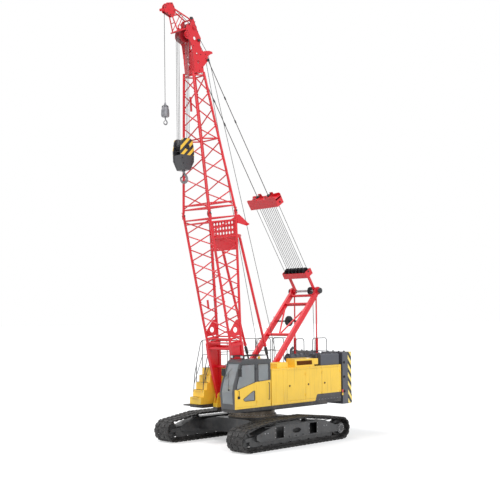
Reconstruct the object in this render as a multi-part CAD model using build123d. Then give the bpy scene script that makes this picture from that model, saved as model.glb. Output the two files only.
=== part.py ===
from build123d import *
from math import atan2, cos, hypot, pi, radians, sin
import os

# Crawler crane with a lattice boom.  Millimetres.  +Z is up and z = 0 is the ground under the tracks.
# The slew axis is x = y = 0.  The boom is at the front, towards -Y, and the cab is on the left, at +X.
# Rear is +Y.  Every "side" value is an x, and most pieces come in a left (+) and a right (-) copy.

os.makedirs("parts", exist_ok=True)

# ---------------------------------------------------------------- driving sizes
# Undercarriage
track_gauge = 4200          # between the centre lines of the tracks
wheelbase = 5080            # idler axle to drive axle
shoe_width = 830
shoe_count = 58
shoe_base = 25              # plate under each pad
shoe_pad = 30               # height of the pad on its plate
pad_share = 0.74            # pad length as a share of the shoe pitch
end_radius = 440            # ground to the axles of idler and drive
rail_height = 90            # chain rails inside the shoes
rail_width = 55
rail_spacing = 150          # between the centre lines of the two rails
top_run = 1085              # highest level of the upper run
carrier_places = (-1150, 750)
carrier_radius = 80
roller_radius = 85
roller_count = 8
roller_width = 220
frame_inside = 200          # track frame, from the track's centre line inwards
frame_outside = 300         # and outwards
frame_wall = 22
frame_low = 330
frame_high = 870
beam_place = 920            # the two cross beams, before and behind the slew axis
beam_width = 460
beam_low = 400
beam_high = 800
carbody_radius = 980
carbody_top = 980

# Slewing ring
ring_radius = 950
ring_bore = 620
ring_lower_height = 80
ring_gap = 0.4
deck_low = 1200             # underside of the upper structure

# Upper structure
half_width = 1525           # outside of the housings
girder_out = 750            # outer walls of the main girders
girder_high = 1640
girder_wall = 24
ledge_low = 1360
ledge_high = 1485
housing_inner = 800
housing_front = -445
housing_rear = 3660
housing_top = 2880
sheet = 30                  # thickness of housing walls and doors
door_gap = 5
door_low = 1590
door_high = 2790
tail_front = 3790           # counterweight
tail_rear = 4390
tail_low = 1230
tail_high = 3380

# Cab
cab_inner = 800
cab_outer = 1530
cab_front = -2400
cab_rear = -500
cab_low = 1485
cab_high = 3300
cab_wall = 45

# Boom
rope_radius = 11
boom_foot = (-1200, 1800)   # y, z of the foot pin
boom_lean = 7.8             # degrees forward of upright
foot_half = 655             # half of the spacing of the two foot eyes
base_length = 7140          # foot pin to the joint between the two sections
base_half = (740, 680)      # half width and half depth at that joint
legs_height = 2130          # where the solid legs end and the lattice starts
legs_half = (655, 277)      # half width and half depth there
tip_length = 5260           # joint to the boom head
tip_half = (270, 270)
chord_radius = 48
brace_radius = 24
head_plate = 26
pin_clearance = 0.05        # radial, in every pinned joint

# Main hoist, auxiliary hoist and stays: y, z at rest
main_sheave = 230           # rope radius of the sheaves in head and hook block
aux_reach = (-896.7426, 2348.1542)     # auxiliary sheave: as stay_anchor
aux_sheave = 200
gantry_foot = (-450, 1850)
gantry_top = (3200, 5950)
gantry_half = 700
stay_anchor = (520, 500)    # on the boom head: behind the boom's centre line, above the tip section
bail_reach = 953            # gantry top pin to the bail's sheave shaft
spreader_reach = 4210       # gantry top pin to the spreader's sheave shaft
backstop_pin = (6160, 900)  # on the boom: along it, and behind its centre line
backstop_seat = (620, 2350)
stop_x = gantry_half - 138  # backstops, inside the gantry legs
girder_in = gantry_half - 200       # inner walls of the main girders, under the backstops' seats


# ---------------------------------------------------------------- drawing helpers
def block(x, y, z):
    """Box between (low, high) limits along each axis."""
    centre = ((x[0] + x[1]) / 2, (y[0] + y[1]) / 2, (z[0] + z[1]) / 2)
    return Pos(*centre) * Box(abs(x[1] - x[0]), abs(y[1] - y[0]), abs(z[1] - z[0]))


def slab_yz(points, x):
    """Outline of (y, z) points, as thick as the (low, high) pair x."""
    face = make_face(Polyline(*[(x[0], y, z) for y, z in points], close=True))
    return extrude(face, amount=x[1] - x[0], dir=(1, 0, 0))


def hollow_yz(points, x, wall):
    """Closed box whose side outline is the (y, z) points, with walls of one thickness all round."""
    face = make_face(Polyline(*[(x[0] + wall, y, z) for y, z in points], close=True))
    room = offset(face, amount=-wall, kind=Kind.INTERSECTION)
    return slab_yz(points, x) - extrude(room, amount=x[1] - x[0] - 2 * wall, dir=(1, 0, 0))


def slab_xz(points, y):
    """Outline of (x, z) points, as deep as the (low, high) pair y."""
    face = make_face(Polyline(*[(x, y[0], z) for x, z in points], close=True))
    return extrude(face, amount=y[1] - y[0], dir=(0, 1, 0))


def rod(start, end, radius):
    """Round bar between two points."""
    along = Vector(*end) - Vector(*start)
    upright = (Align.CENTER, Align.CENTER, Align.MIN)
    return Plane(origin=start, z_dir=along) * Cylinder(radius, along.length, align=upright)


def bar(start, end, width, depth):
    """Rectangular bar between two points: width along X, depth across it."""
    along = Vector(*end) - Vector(*start)
    middle = (Vector(*start) + Vector(*end)) * 0.5
    return Plane(origin=middle, x_dir=(1, 0, 0), z_dir=along) * Box(width, depth, along.length)


def cross(x, y, z, radius):
    """Round bar along X between the (low, high) pair x, at y and z."""
    return rod((x[0], y, z), (x[1], y, z), radius)


def fuse(*solids):
    """One solid out of several that meet."""
    return Part() + list(solids)


def mirrored(solid):
    """The solid's copy on the other side of the machine."""
    return mirror(solid, about=Plane.YZ)


def both_sides(solid):
    """The solid and its copy, as two solids of one node."""
    return [solid, mirrored(solid)]


def save(name, *solids):
    """Write a node from solids and lists of solids."""
    flat = []
    for entry in solids:
        flat.extend(entry if isinstance(entry, (list, tuple)) else [entry])
    pieces = [solid for entry in flat for solid in entry.solids()]
    export_step(pieces[0] if len(pieces) == 1 else Compound(children=pieces), f"parts/{name}.step")


# ---------------------------------------------------------------- tracks
def loop_wheels(extra):
    """Wheels that the track loop wraps: (y, z, radius), from the idler backwards along the ground."""
    end = end_radius - shoe_base - shoe_pad + extra
    carrier = carrier_radius + rail_height + extra
    carrier_level = top_run - shoe_base - shoe_pad - rail_height - carrier_radius
    front, rear = carrier_places
    return [(-wheelbase / 2, end_radius, end), (wheelbase / 2, end_radius, end),
            (rear, carrier_level, carrier), (front, carrier_level, carrier)]


def loop_wire(extra, x=0):
    """Closed path round the wheels, at a distance outside the inner face of the shoes."""
    wheels = loop_wheels(extra)
    normals = []
    for (y0, z0, r0), (y1, z1, r1) in zip(wheels, wheels[1:] + wheels[:1]):
        run = hypot(y1 - y0, z1 - z0)
        heading = atan2(z1 - z0, y1 - y0)
        slant = (r0 - r1) / run
        heading += atan2(slant, (1 - slant ** 2) ** 0.5)
        normals.append((sin(heading), -cos(heading)))
    edges = []
    for index, (y0, z0, r0) in enumerate(wheels):
        y1, z1, r1 = wheels[(index + 1) % len(wheels)]
        before, after = normals[index - 1], normals[index]
        middle = (before[0] + after[0], before[1] + after[1])
        size = hypot(*middle)
        arc = [(x, y0 + r0 * ny, z0 + r0 * nz)
               for ny, nz in (before, (middle[0] / size, middle[1] / size), after)]
        edges.append(ThreePointArc(*arc))
        edges.append(Line(arc[2], (x, y1 + r1 * after[0], z1 + r1 * after[1])))
    return Wire(edges)


def shoe_outline(x):
    """Outer edge of the loop: a raised pad on each shoe and a step down between two shoes."""
    path = loop_wire(0, x)
    pitch = path.length / shoe_count
    points = []
    for index in range(shoe_count):
        share = (index + 0.5) / shoe_count
        place, along = path.position_at(share), path.tangent_at(share)
        if along.Y < 0 and place.Z < end_radius / 2:
            along = along * -1
        outward = Vector(0, along.Z, -along.Y)
        half = along * (pitch * pad_share / 2)
        low, high = outward * shoe_base, outward * (shoe_base + shoe_pad)
        points += [place - half + low, place - half + high, place + half + high, place + half + low]
    return Polyline(*points, close=True)


def track(side):
    """Shoes and chain of one side as one fixed loop."""
    centre = side * track_gauge / 2
    low = centre - shoe_width / 2
    shoes = make_face(shoe_outline(low)) - make_face(loop_wire(0, low))
    loop = extrude(shoes, amount=shoe_width, dir=(1, 0, 0))
    for rail in (-1, 1):
        start = centre + rail * rail_spacing / 2 - rail_width / 2
        ring = make_face(loop_wire(1, start)) - make_face(loop_wire(-rail_height, start))
        loop = loop + extrude(ring, amount=rail_width, dir=(1, 0, 0))
    return loop


end_wheel = end_radius - shoe_base - shoe_pad - rail_height - 0.3
track_middle = track_gauge / 2
rail_reach = rail_spacing / 2 + rail_width / 2


def idler():
    """Front wheel of the left track, with the flange that runs between the rails."""
    front = -wheelbase / 2
    tread = cross((track_middle - rail_reach, track_middle + rail_reach), front, end_radius, end_wheel)
    flange_half = (rail_spacing - rail_width) / 2 - 4
    flange = cross((track_middle - flange_half, track_middle + flange_half), front, end_radius, end_wheel + 45)
    hub = cross((track_middle - 190, track_middle + 190), front, end_radius, 70)
    wheel = fuse(tread, flange, hub)
    for face in (-1, 1):
        outer = track_middle + face * rail_reach
        inner = track_middle + face * (rail_reach - 45)
        dish = cross(sorted((outer, inner)), front, end_radius, end_wheel - 45)
        wheel = wheel - (dish - cross(sorted((outer, inner)), front, end_radius, 110))
    return wheel


sprocket_teeth = 11


def sprocket():
    """Drive wheel of the left track: teeth between the rails, rims under them."""
    rear = wheelbase / 2
    half = (rail_spacing - rail_width) / 2 - 4
    points = []
    for tooth in range(sprocket_teeth):
        for turn, reach in ((-0.34, 0), (-0.16, 45), (0.16, 45), (0.34, 0)):
            angle = 2 * pi * (tooth + turn) / sprocket_teeth
            radius = end_wheel - 4 + reach
            points.append((rear + radius * sin(angle), end_radius + radius * cos(angle)))
    toothed = slab_yz(points, (track_middle - half, track_middle + half))
    rims = cross((track_middle - rail_reach, track_middle + rail_reach), rear, end_radius, end_wheel)
    return fuse(toothed, rims)


def travel_drive():
    """Final drive beside the left sprocket, with the round cover on the outside."""
    rear = wheelbase / 2
    inner = track_middle - frame_inside - 160
    gearbox = cross((inner, track_middle - rail_reach - 0.3), rear, end_radius, 210)
    motor = cross((inner - 190, inner), rear, end_radius, 130)
    cover = cross((track_middle + rail_reach + 0.3, track_middle + frame_outside + 14), rear, end_radius, 205)
    boss = cross((track_middle + frame_outside + 14, track_middle + frame_outside + 36), rear, end_radius, 165)
    return [fuse(gearbox, motor), fuse(cover, boss)]


def rollers():
    """Lower rollers of the left track, on the chain rails."""
    level = shoe_base + shoe_pad + rail_height + 0.3 + roller_radius
    span = wheelbase - 1500
    solids = []
    for index in range(roller_count):
        y = -span / 2 + span * index / (roller_count - 1)
        half = roller_width / 2
        solids.append(cross((track_middle - half, track_middle + half), y, level, roller_radius))
    return solids


def carriers():
    """Upper rollers of the left track, under the top run."""
    level = top_run - shoe_base - shoe_pad - rail_height - carrier_radius - 0.3
    half = roller_width / 2
    return [cross((track_middle - half, track_middle + half), y, level, carrier_radius)
            for y in carrier_places]


def track_frame():
    """Hollow side frame of the left track: box beam with openings, idler fork and roller brackets."""
    low_x, high_x = track_middle - frame_inside, track_middle + frame_outside
    nose, tail = -wheelbase / 2 + end_radius - 20, wheelbase / 2 - end_radius + 40
    outline = [(nose, frame_low + 90), (nose + 180, frame_low), (tail, frame_low), (tail, frame_high - 240),
               (tail - 520, frame_high - 40), (tail - 640, frame_high - 40), (beam_place + 250, frame_high),
               (-beam_place - 250, frame_high), (nose + 420, frame_high - 150), (nose, frame_high - 280)]
    shell = hollow_yz(outline, (low_x, high_x), frame_wall)
    for y in (-beam_place, beam_place):
        shell = shell - block((high_x - 2 * frame_wall, high_x + 1), (y - 205, y + 205), (385, 800))
    shell = shell - Pos(high_x - frame_wall, 0, 590) * Rot(0, 90, 0) * extrude(Ellipse(95, 230), 40)
    # Slots over the carrier rollers
    for y in carrier_places:
        half = roller_width / 2 + 12
        shell = shell - block((track_middle - half, track_middle + half), (y - 110, y + 110), (700, 900))
    # Fork that holds the idler shaft
    for side in (-1, 1):
        inner = track_middle + side * (rail_reach + 25)
        outer = track_middle + side * (rail_reach + 60)
        arm = block(sorted((inner, outer)), (-wheelbase / 2 - 110, nose + 60), (end_radius - 75, end_radius + 75))
        arm = arm - cross(sorted((inner, outer)), -wheelbase / 2, end_radius, 70 + 0.3)
        shell = shell + arm
    # Arms that hold the final drive
    for face, inner, outer in ((-1, frame_inside - frame_wall, frame_inside),
                               (1, frame_outside - frame_wall, frame_outside)):
        pair = sorted((track_middle + face * inner, track_middle + face * outer))
        arm = block(pair, (tail - 80, wheelbase / 2 + 40), (end_radius - 120, end_radius + 160))
        shell = shell + (arm - cross(pair, wheelbase / 2, end_radius, 210.3 if face < 0 else 205.3))
    # Brackets of the lower rollers
    for side in (-1, 1):
        inner = track_middle + side * (roller_width / 2 + 1)
        outer = track_middle + side * (roller_width / 2 + 31)
        level = shoe_base + shoe_pad + rail_height + 60
        bracket = block(sorted((inner, outer)), (nose + 180, tail), (level, frame_low + 5))
        shell = shell + bracket
    # Axle stubs of the carrier rollers
    level = top_run - shoe_base - shoe_pad - rail_height - carrier_radius - 0.3
    for y in carrier_places:
        for side in (-1, 1):
            inner = track_middle + side * (roller_width / 2 + 0.3)
            outer = track_middle + side * (roller_width / 2 + 40)
            pair = sorted((inner, outer))
            shell = shell + block(pair, (y - 45, y + 45), (frame_high - 170, level + 25))
    return shell


def carbody():
    """Centre of the undercarriage: drum under the slewing ring and the cross beams to the frames."""
    drum = Pos(0, 0, beam_low) * Cylinder(carbody_radius, carbody_top - beam_low,
                                          align=(Align.CENTER, Align.CENTER, Align.MIN))
    reach = track_middle - frame_inside - 0.3
    beam_points = [(-reach, beam_low), (reach, beam_low), (reach, beam_high - 60), (900, carbody_top - 30),
                   (-900, carbody_top - 30), (-reach, beam_high - 60)]
    body = drum
    for y in (-beam_place, beam_place):
        body = body + slab_xz(beam_points, (y - beam_width / 2, y + beam_width / 2))
    return body - Pos(0, 0, beam_low - 1) * Cylinder(ring_bore - 120, 900, align=(Align.CENTER, Align.CENTER, Align.MIN))


def ring(radius, bore, low, high):
    """Flat ring about the slew axis."""
    upright = (Align.CENTER, Align.CENTER, Align.MIN)
    return Pos(0, 0, low) * (Cylinder(radius, high - low, align=upright) - Cylinder(bore, high - low, align=upright))


# ---------------------------------------------------------------- upper structure
def deck_frame():
    """Turntable: two box girders, floor plates, and the lugs of boom and gantry."""
    girder_points = [(-1420, deck_low + 60), (-1150, deck_low), (tail_front - 110, deck_low),
                     (tail_front - 110, girder_high - 180), (1900, girder_high), (-700, girder_high),
                     (-1420, girder_high - 120)]
    frame = None
    for side in (-1, 1):
        girder = hollow_yz(girder_points, sorted((side * girder_in, side * girder_out)), girder_wall)
        frame = girder if frame is None else frame + girder
    frame = frame + block((-girder_in - 1, girder_in + 1), (-1150, tail_front - 110), (deck_low, deck_low + 60))
    frame = frame + block((-girder_in - 1, girder_in + 1), (-1150, -1100), (deck_low, girder_high - 120))
    frame = frame + block((-girder_in - 1, girder_in + 1), (2350, 2390), (deck_low, girder_high - 120))
    return frame


def lug_yz(pin, base, radius, thick, x):
    """Ear in the YZ plane: a round eye about the pin on a foot (y low, y high, z) on the base."""
    y, z = pin
    low, high, level = base
    eye = cross((x, x + thick), y, z, radius)
    foot = slab_yz([(low, level), (high, level), (y + radius * 0.96, z - radius * 0.28),
                    (y + radius * 0.6, z + radius * 0.8), (y - radius * 0.6, z + radius * 0.8),
                    (y - radius * 0.96, z - radius * 0.28)], (x, x + thick))
    return eye + foot


eye_width = 130                 # boom foot eyes
ear_thick = 34
ear_gap = 3
boom_pin = 55                   # radius of the boom foot pins
gantry_pin = 35
gantry_eye = 90                 # width of the gantry's leg eyes


def boom_ears():
    """Four ears on the girders that hold the boom foot pins."""
    y, z = boom_foot
    ears = []
    for side in (-1, 1):
        inner = side * foot_half - eye_width / 2 - ear_gap - ear_thick
        outer = side * foot_half + eye_width / 2 + ear_gap
        for x in (inner, outer):
            ear = lug_yz((y, z), (-1400, -880, girder_high - 130), 135, ear_thick, x)
            ears.append(ear - cross((x - 1, x + ear_thick + 1), y, z, boom_pin + pin_clearance))
    return ears


def boom_pins():
    """Foot pins, held in the ears."""
    y, z = boom_foot
    reach = eye_width / 2 + ear_gap + ear_thick + 12
    return [cross((side * foot_half - reach, side * foot_half + reach), y, z, boom_pin) for side in (-1, 1)]


def side_ledges():
    """Outrigger beams and the long ledges under cab, tanks and housings."""
    ledge_in = girder_out + 0.3
    solids = []
    for side, front, outer in ((1, cab_front + 60, half_width - 20), (-1, -1960.7, half_width - 20)):
        ledge = block(sorted((side * ledge_in, side * outer)), (front, tail_front - 110), (ledge_low, ledge_high))
        pan = block(sorted((side * (ledge_in + 60), side * (outer - 40))), (front + 40, tail_front - 150),
                    (ledge_low - 1, ledge_high - 25))
        ledge = ledge - pan
        for y in (-1900, -1050, -200, 700, 1650, 2650):
            if y > front + 80:
                ledge = ledge + block(sorted((side * (ledge_in + 59), side * (outer - 39))), (y - 45, y + 45),
                                      (ledge_low, ledge_high - 24))
        solids.append(ledge)
    return solids


# ---------------------------------------------------------------- winches
winch_table = (              # name, y, z, drum radius, flange radius, half width of the drum
    ("front_hoist_drum", 640, 2000, 215, 330, girder_in - 100),
    ("rear_hoist_drum", 1500, 2080, 215, 330, girder_in - 100),
    ("luffing_drum", 3180, 2000, 200, 310, girder_in - 170),
)
winch_wall = 40


def drum(y, z, radius, flange, half):
    """Winch drum with its two flanges and the stub shafts in the side plates."""
    body = cross((-half, half), y, z, radius)
    for side in (-1, 1):
        body = body + cross(sorted((side * half, side * (half + 28))), y, z, flange)
        body = body + cross(sorted((side * (half + 28), side * (half + 34 + winch_wall))), y, z, 90)
    return body


def winch_stand(y, z, radius, flange, half):
    """Two side plates that carry a drum, welded to the floor plate between the girders."""
    floor = deck_low + 59
    plates = []
    for side in (-1, 1):
        x = sorted((side * (half + 34), side * (half + 34 + winch_wall)))
        plate = slab_yz([(y - 300, floor), (y + 300, floor), (y + 150, z + 60), (y + 60, z + 140),
                         (y - 60, z + 140), (y - 150, z + 60)], x)
        plates.append(plate - cross((x[0] - 1, x[1] + 1), y, z, 90 + pin_clearance))
    return plates


# ---------------------------------------------------------------- housings and doors
left_doors = ((430, 1480), (1515, 2465), (2500, 3600))      # front and rear edge of each door
right_doors = ((430, 1900), (1935, 3600))
door_hinges = (door_low + 130, door_high - 240)


hinge_out = 15                  # hinge axis outside the wall
hinge_pin = 7
hinge_knuckle = 14


def hinge_half(side, wall, rear, level, fixed):
    """Half of a door hinge on a wall: leaf and knuckle, with the pin on the fixed half."""
    x, y = side * (wall + hinge_out), rear - door_gap / 2
    z = level if fixed else level + 50.3
    span = (y + 1, y + 33) if fixed else (y - 45, y - 1)
    half = block(sorted((side * (wall - 1), side * (wall + 8))), span, (z, z + 50))
    half = half + rod((x, y, z), (x, y, z + 50), hinge_knuckle)
    if fixed:
        return half + rod((x, y, z + 49), (x, y, z + 108), hinge_pin)
    return half - rod((x, y, z - 1), (x, y, z + 51), hinge_pin + pin_clearance)


def housing(side, doors):
    """Hollow sheet housing over one side of the deck, with its door openings cut."""
    x = sorted((side * housing_inner, side * half_width))
    z = (ledge_high + 0.3, housing_top)
    shell = block(x, (housing_front, housing_rear), z)
    shell = fillet(shell.edges().filter_by(Axis.Y).sort_by(Axis.Z)[-2:].sort_by(Axis.X)[-1 if side > 0 else 0], 28)
    shell = shell - block((x[0] + sheet, x[1] - sheet), (housing_front + sheet, housing_rear - sheet),
                          (z[0] + sheet, z[1] - sheet))
    skin = sorted((side * (half_width - sheet - 1), side * (half_width + 1)))
    for front, rear in doors:
        shell = shell - block(skin, (front, rear), (door_low, door_high))
    for _, rear in doors:
        for level in door_hinges:
            shell = shell + hinge_half(side, half_width, rear, level, True)
    return shell


def housing_door(side, front, rear):
    """Flush door with its latch, hinged at the rear edge."""
    x = sorted((side * (half_width - sheet), side * half_width))
    door = block(x, (front + door_gap, rear - door_gap), (door_low + door_gap, door_high - door_gap))
    door = door + cross(sorted((side * half_width, side * (half_width + 8))), front + 130, 2180, 42)
    for level in door_hinges:
        door = door + hinge_half(side, half_width, rear, level, False)
    return door


def engine():
    """Engine in the left housing, as one block on its mounts."""
    body = block((housing_inner + 90, half_width - 95), (1000, 2300), (1640, 2560))
    for y in (1150, 2150):
        for x in (housing_inner + 180, half_width - 185):
            body = body + block((x - 45, x + 45), (y - 45, y + 45), (ledge_high + sheet + 0.6, 1640))
    return body


def hydraulic_tank():
    """Hydraulic oil tank behind the right doors."""
    x = (-(half_width - 95), -(housing_inner + 90))
    return block(x, (700, 2100), (ledge_high + sheet + 0.6, 2450))


def intake_hood():
    """Raised air intake on the left roof with its side grille frame, and the low box before it."""
    x_low, x_high = housing_inner + 130, half_width - 60
    z = housing_top + 0.3
    body = slab_xz([(x_low, z), (x_high, z), (x_high - 40, z + 310), (x_low + 60, z + 340)], (960, 2080))
    slot = block((x_high - 90, x_high + 10), (1070, 1970), (z + 70, z + 240))
    front = block((x_low - 60, x_high - 150), (90, 690), (z, z + 215))
    front = chamfer(front.edges().filter_by(Axis.X).sort_by(Axis.Z)[-2:], 40)
    rear = block((x_low + 120, x_high - 60), (2079, 2380), (z + 60, z + 300))
    return [body - slot + rear, front]


def exhaust():
    """Silencer lying on the roof, with its end caps and tail pipe."""
    x, z = housing_inner - 40, housing_top + 330
    body = rod((x, 1250, z), (x, 2250, z), 165) + rod((x, 1180, z), (x, 1250, z), 110)
    body = body + rod((x, 2250, z), (x, 2330, z), 90)
    tail = rod((x, 1480, z), (x, 1480, z + 330), 55) + rod((x, 1480, z + 330), (x, 1600, z + 420), 55)
    body = body + tail
    for y in (1450, 2050):
        body = body + block((x + 20, x + 110), (y - 30, y + 30), (housing_top + 0.3, z))
    return body


def roof_box():
    """Dark cooler box at the rear of the left roof."""
    x = (housing_inner + 40, half_width - 70)
    body = block(x, (2480, 3620), (housing_top + 0.3, housing_top + 460))
    return chamfer(body.edges().filter_by(Axis.Y).sort_by(Axis.Z)[-2:], 45)


# ---------------------------------------------------------------- counterweight
tail_middle = 345               # half width of the centre slab
tail_levels = 3


def counterweight_base():
    """Tray across the tail that the slabs stand on, with its two hooks under the girders."""
    tray = block((-1500, 1500), (tail_front, tail_rear), (tail_low, tail_low + 360))
    tray = chamfer(tray.edges().filter_by(Axis.X).sort_by(Axis.Z)[:2].sort_by(Axis.Y)[-1], 60)
    for side in (-1, 1):
        x = sorted((side * (girder_in + 40), side * (girder_out - 40)))
        tray = tray + block(x, (tail_front - 109.7, tail_front + 1), (deck_low + 40, tail_low + 330))
    return tray


def counterweight_slabs():
    """Stacked slabs on both sides of the tray."""
    base = tail_low + 360
    height = (tail_high - base) / tail_levels
    solids = []
    for level in range(tail_levels):
        low = base + height * level + 0.3
        slab = block((tail_middle, 1500), (tail_front, tail_rear), (low, low + height - 0.6))
        slab = chamfer(slab.edges().filter_by(Axis.Z).sort_by(Axis.Y)[-2:].sort_by(Axis.X)[-1], 30)
        solids += both_sides(slab)
    return solids


def counterweight_centre():
    """Lower slab in the middle of the tail, with two lifting eyes."""
    base = tail_low + 360.3
    slab = block((-tail_middle + 5, tail_middle - 5), (tail_front, tail_rear), (base, base + 900))
    y, z = tail_front + 300, base + 990
    for x in (-200, 200):
        slab = slab + rod((x, y - 20, z), (x, y + 20, z), 70) + block((x - 70, x + 70), (y - 20, y + 20), (z - 91, z))
        slab = slab - rod((x, y - 21, z), (x, y + 21, z), lifting_eye)
    return slab


lifting_eye = 32


# ---------------------------------------------------------------- cab
cab_side = [(cab_front, cab_low), (cab_front - 50, cab_low + 620), (cab_front + 10, cab_low + 900),
            (cab_front + 330, cab_high - 90), (cab_front + 470, cab_high), (cab_rear, cab_high - 20),
            (cab_rear, cab_low)]
belt_front = cab_low + 700      # lower edge of the side windows
belt_rear = cab_low + 960
pillar = 75
door_edge = (cab_front + 70, -1260)     # front and rear edge of the cab door
cab_hinges = (cab_low + 180, cab_high - 420)
glass_thick = 8


def inset(points, amount, x):
    """Face in the YZ plane drawn in from the outline by an amount."""
    face = make_face(Polyline(*[(x, y, z) for y, z in points], close=True))
    return offset(face, amount=-amount, kind=Kind.INTERSECTION) if amount else face


def door_outline():
    """Side outline of the cab door, following the front pillar."""
    front, rear = door_edge
    return [(front, cab_low + 60), (front - 40, cab_low + 620), (front + 20, cab_low + 900),
            (front + 315, cab_high - 120), (rear, cab_high - 120), (rear, cab_low + 60)]


def side_window():
    """Window outline in the cab door."""
    front, rear = door_edge
    return [(front + 40, belt_front), (front + 60, cab_low + 905), (front + 330, cab_high - 190),
            (rear - 70, cab_high - 190), (rear - 70, belt_rear - 10)]


rear_window = [(door_edge[1] + 90, belt_rear + 10), (door_edge[1] + 90, cab_high - 190),
               (cab_rear - 90, cab_high - 190), (cab_rear - 90, belt_rear + 40)]


def low_window():
    """Three-cornered window low in the cab door."""
    rear = door_edge[1]
    return [(rear - 700, cab_low + 345), (rear - 610, cab_low + 270), (rear - 90, cab_low + 270),
            (rear - 90, cab_low + 640), (rear - 200, cab_low + 620)]


def cab_shell():
    """Hollow cab with the door opening and every window cut."""
    shell = slab_yz(cab_side, (cab_inner, cab_outer))
    room = inset(cab_side, cab_wall, cab_inner + cab_wall)
    shell = shell - extrude(room, amount=cab_outer - cab_inner - 2 * cab_wall, dir=(1, 0, 0))
    skin = (cab_outer - cab_wall - 1, cab_outer + 1)
    shell = shell - slab_yz(door_outline(), skin)
    shell = shell - slab_yz(rear_window, skin)
    inner_skin = (cab_inner - 1, cab_inner + cab_wall + 1)
    shell = shell - slab_yz(side_window(), inner_skin) - slab_yz(rear_window, inner_skin)
    inside = (cab_inner + pillar, cab_outer - pillar)
    shell = shell - block(inside, (cab_rear - cab_wall - 1, cab_rear + 1), (belt_rear, cab_high - 190))
    windscreen = inset(cab_side, -1, inside[0])
    front_cut = block(inside, (cab_front - 80, cab_front + 420), (cab_low + 190, cab_high - 150))
    keep = extrude(inset(cab_side, cab_wall + 0.5, inside[0]), amount=inside[1] - inside[0], dir=(1, 0, 0))
    slab = extrude(windscreen, amount=inside[1] - inside[0], dir=(1, 0, 0)) - keep
    shell = shell - (slab & front_cut)
    for level in cab_hinges:
        shell = shell + hinge_half(1, cab_outer, door_edge[1], level, True)
    roof_cut = block((inside[0] + 60, inside[1] - 60), (cab_front + 620, cab_rear - 500), (cab_high - 90, cab_high + 1))
    return shell - roof_cut


def cab_door():
    """Cab door with its window openings, hinged at the middle pillar."""
    front, rear = door_edge
    points = door_outline()
    face = make_face(Polyline(*[(cab_outer - cab_wall, y, z) for y, z in points], close=True))
    face = offset(face, amount=-door_gap, kind=Kind.INTERSECTION)
    door = extrude(face, amount=cab_wall, dir=(1, 0, 0))
    cut = (cab_outer - cab_wall - 1, cab_outer + 1)
    door = door - slab_yz(side_window(), cut) - slab_yz(low_window(), cut)
    for level in cab_hinges:
        door = door + hinge_half(1, cab_outer, door_edge[1], level, False)
    return door + block((cab_outer, cab_outer + 14), (front + 95, front + 130), (cab_low + 480, cab_low + 680))


def pane(points, x):
    """Sheet of glass that fills an opening outline, with 0.3 mm all round."""
    face = make_face(Polyline(*[(x[0], y, z) for y, z in points], close=True))
    face = offset(face, amount=-0.3, kind=Kind.INTERSECTION)
    return extrude(face, amount=x[1] - x[0], dir=(1, 0, 0))


def door_glass():
    """Panes of the cab door."""
    x = (cab_outer - 26, cab_outer - 26 + glass_thick)
    return [pane(side_window(), x), pane(low_window(), x)]


def cab_glass():
    """Windscreen, side, rear and roof panes of the cab."""
    outer_x = (cab_outer - 26, cab_outer - 26 + glass_thick)
    inner_x = (cab_inner + 18, cab_inner + 18 + glass_thick)
    inside = (cab_inner + pillar + 0.3, cab_outer - pillar - 0.3)
    width = inside[1] - inside[0]
    panes = [pane(rear_window, outer_x), pane(side_window(), inner_x), pane(rear_window, inner_x)]
    skin = extrude(inset(cab_side, 14, inside[0]), amount=width, dir=(1, 0, 0))
    skin = skin - extrude(inset(cab_side, 14 + glass_thick, inside[0]), amount=width, dir=(1, 0, 0))
    panes.append(skin & block(inside, (cab_front - 80, cab_front + 420), (cab_low + 190.3, cab_high - 150.3)))
    panes.append(block(inside, (cab_rear - 26, cab_rear - 26 + glass_thick), (belt_rear + 0.3, cab_high - 190.3)))
    panes.append(block((inside[0] + 60, inside[1] - 60), (cab_front + 620.3, cab_rear - 500.3),
                       (cab_high - 32, cab_high - 32 + glass_thick)))
    return panes


def cab_inside():
    """Seat and console on the cab floor."""
    floor = cab_low + cab_wall + 0.3
    middle = (cab_inner + cab_outer) / 2
    seat = block((middle - 110, middle + 110), (-1450, -1150), (floor, floor + 330))
    seat = seat + block((middle - 240, middle + 240), (-1560, -1040), (floor + 330, floor + 450))
    back = slab_yz([(-1110, floor + 430), (-960, floor + 430), (-840, floor + 1080), (-960, floor + 1100)],
                   (middle - 220, middle + 220))
    seat = seat + back
    console = slab_yz([(-2180, floor), (-1900, floor), (-1880, floor + 420), (-1960, floor + 560),
                       (-2200, floor + 560)], (cab_inner + cab_wall + 20, cab_outer - cab_wall - 130))
    return seat, console


# ---------------------------------------------------------------- right front tank with steps
def step_tank():
    """Fuel tank on the right front corner, its front face cut into steps."""
    z = ledge_high + 0.3
    rise = (housing_top - z) / 5
    points = [(-1960, z)]
    for step in range(4):
        y = -1960 + 165 * step
        points += [(y + 12, z + rise * (step + 1)), (y + 165, z + rise * (step + 1))]
    points += [(-1290, housing_top), (housing_front - 0.3, housing_top), (housing_front - 0.3, z)]
    tank = slab_yz(points, (-half_width, -870))
    for step in range(4):
        y = -1960 + 165 * step
        level = z + rise * (step + 1)
        tank = tank + block((-half_width + 120, -990), (y - 45, y + 13), (level - 34, level))
    return tank


def foot_plate():
    """Chequered plate in front of the steps, on the ledge."""
    return block((-half_width - 40, -800), (-2260, -1961), (ledge_high - 45, ledge_high))


# ---------------------------------------------------------------- boom
# The boom is drawn upright in its own frame: foot pin at the origin, z along the boom, y rearwards.
lean = radians(boom_lean)
boom_frame = Location(Plane(origin=(0, *boom_foot), x_dir=(1, 0, 0), z_dir=(0, -sin(lean), cos(lean))))


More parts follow.
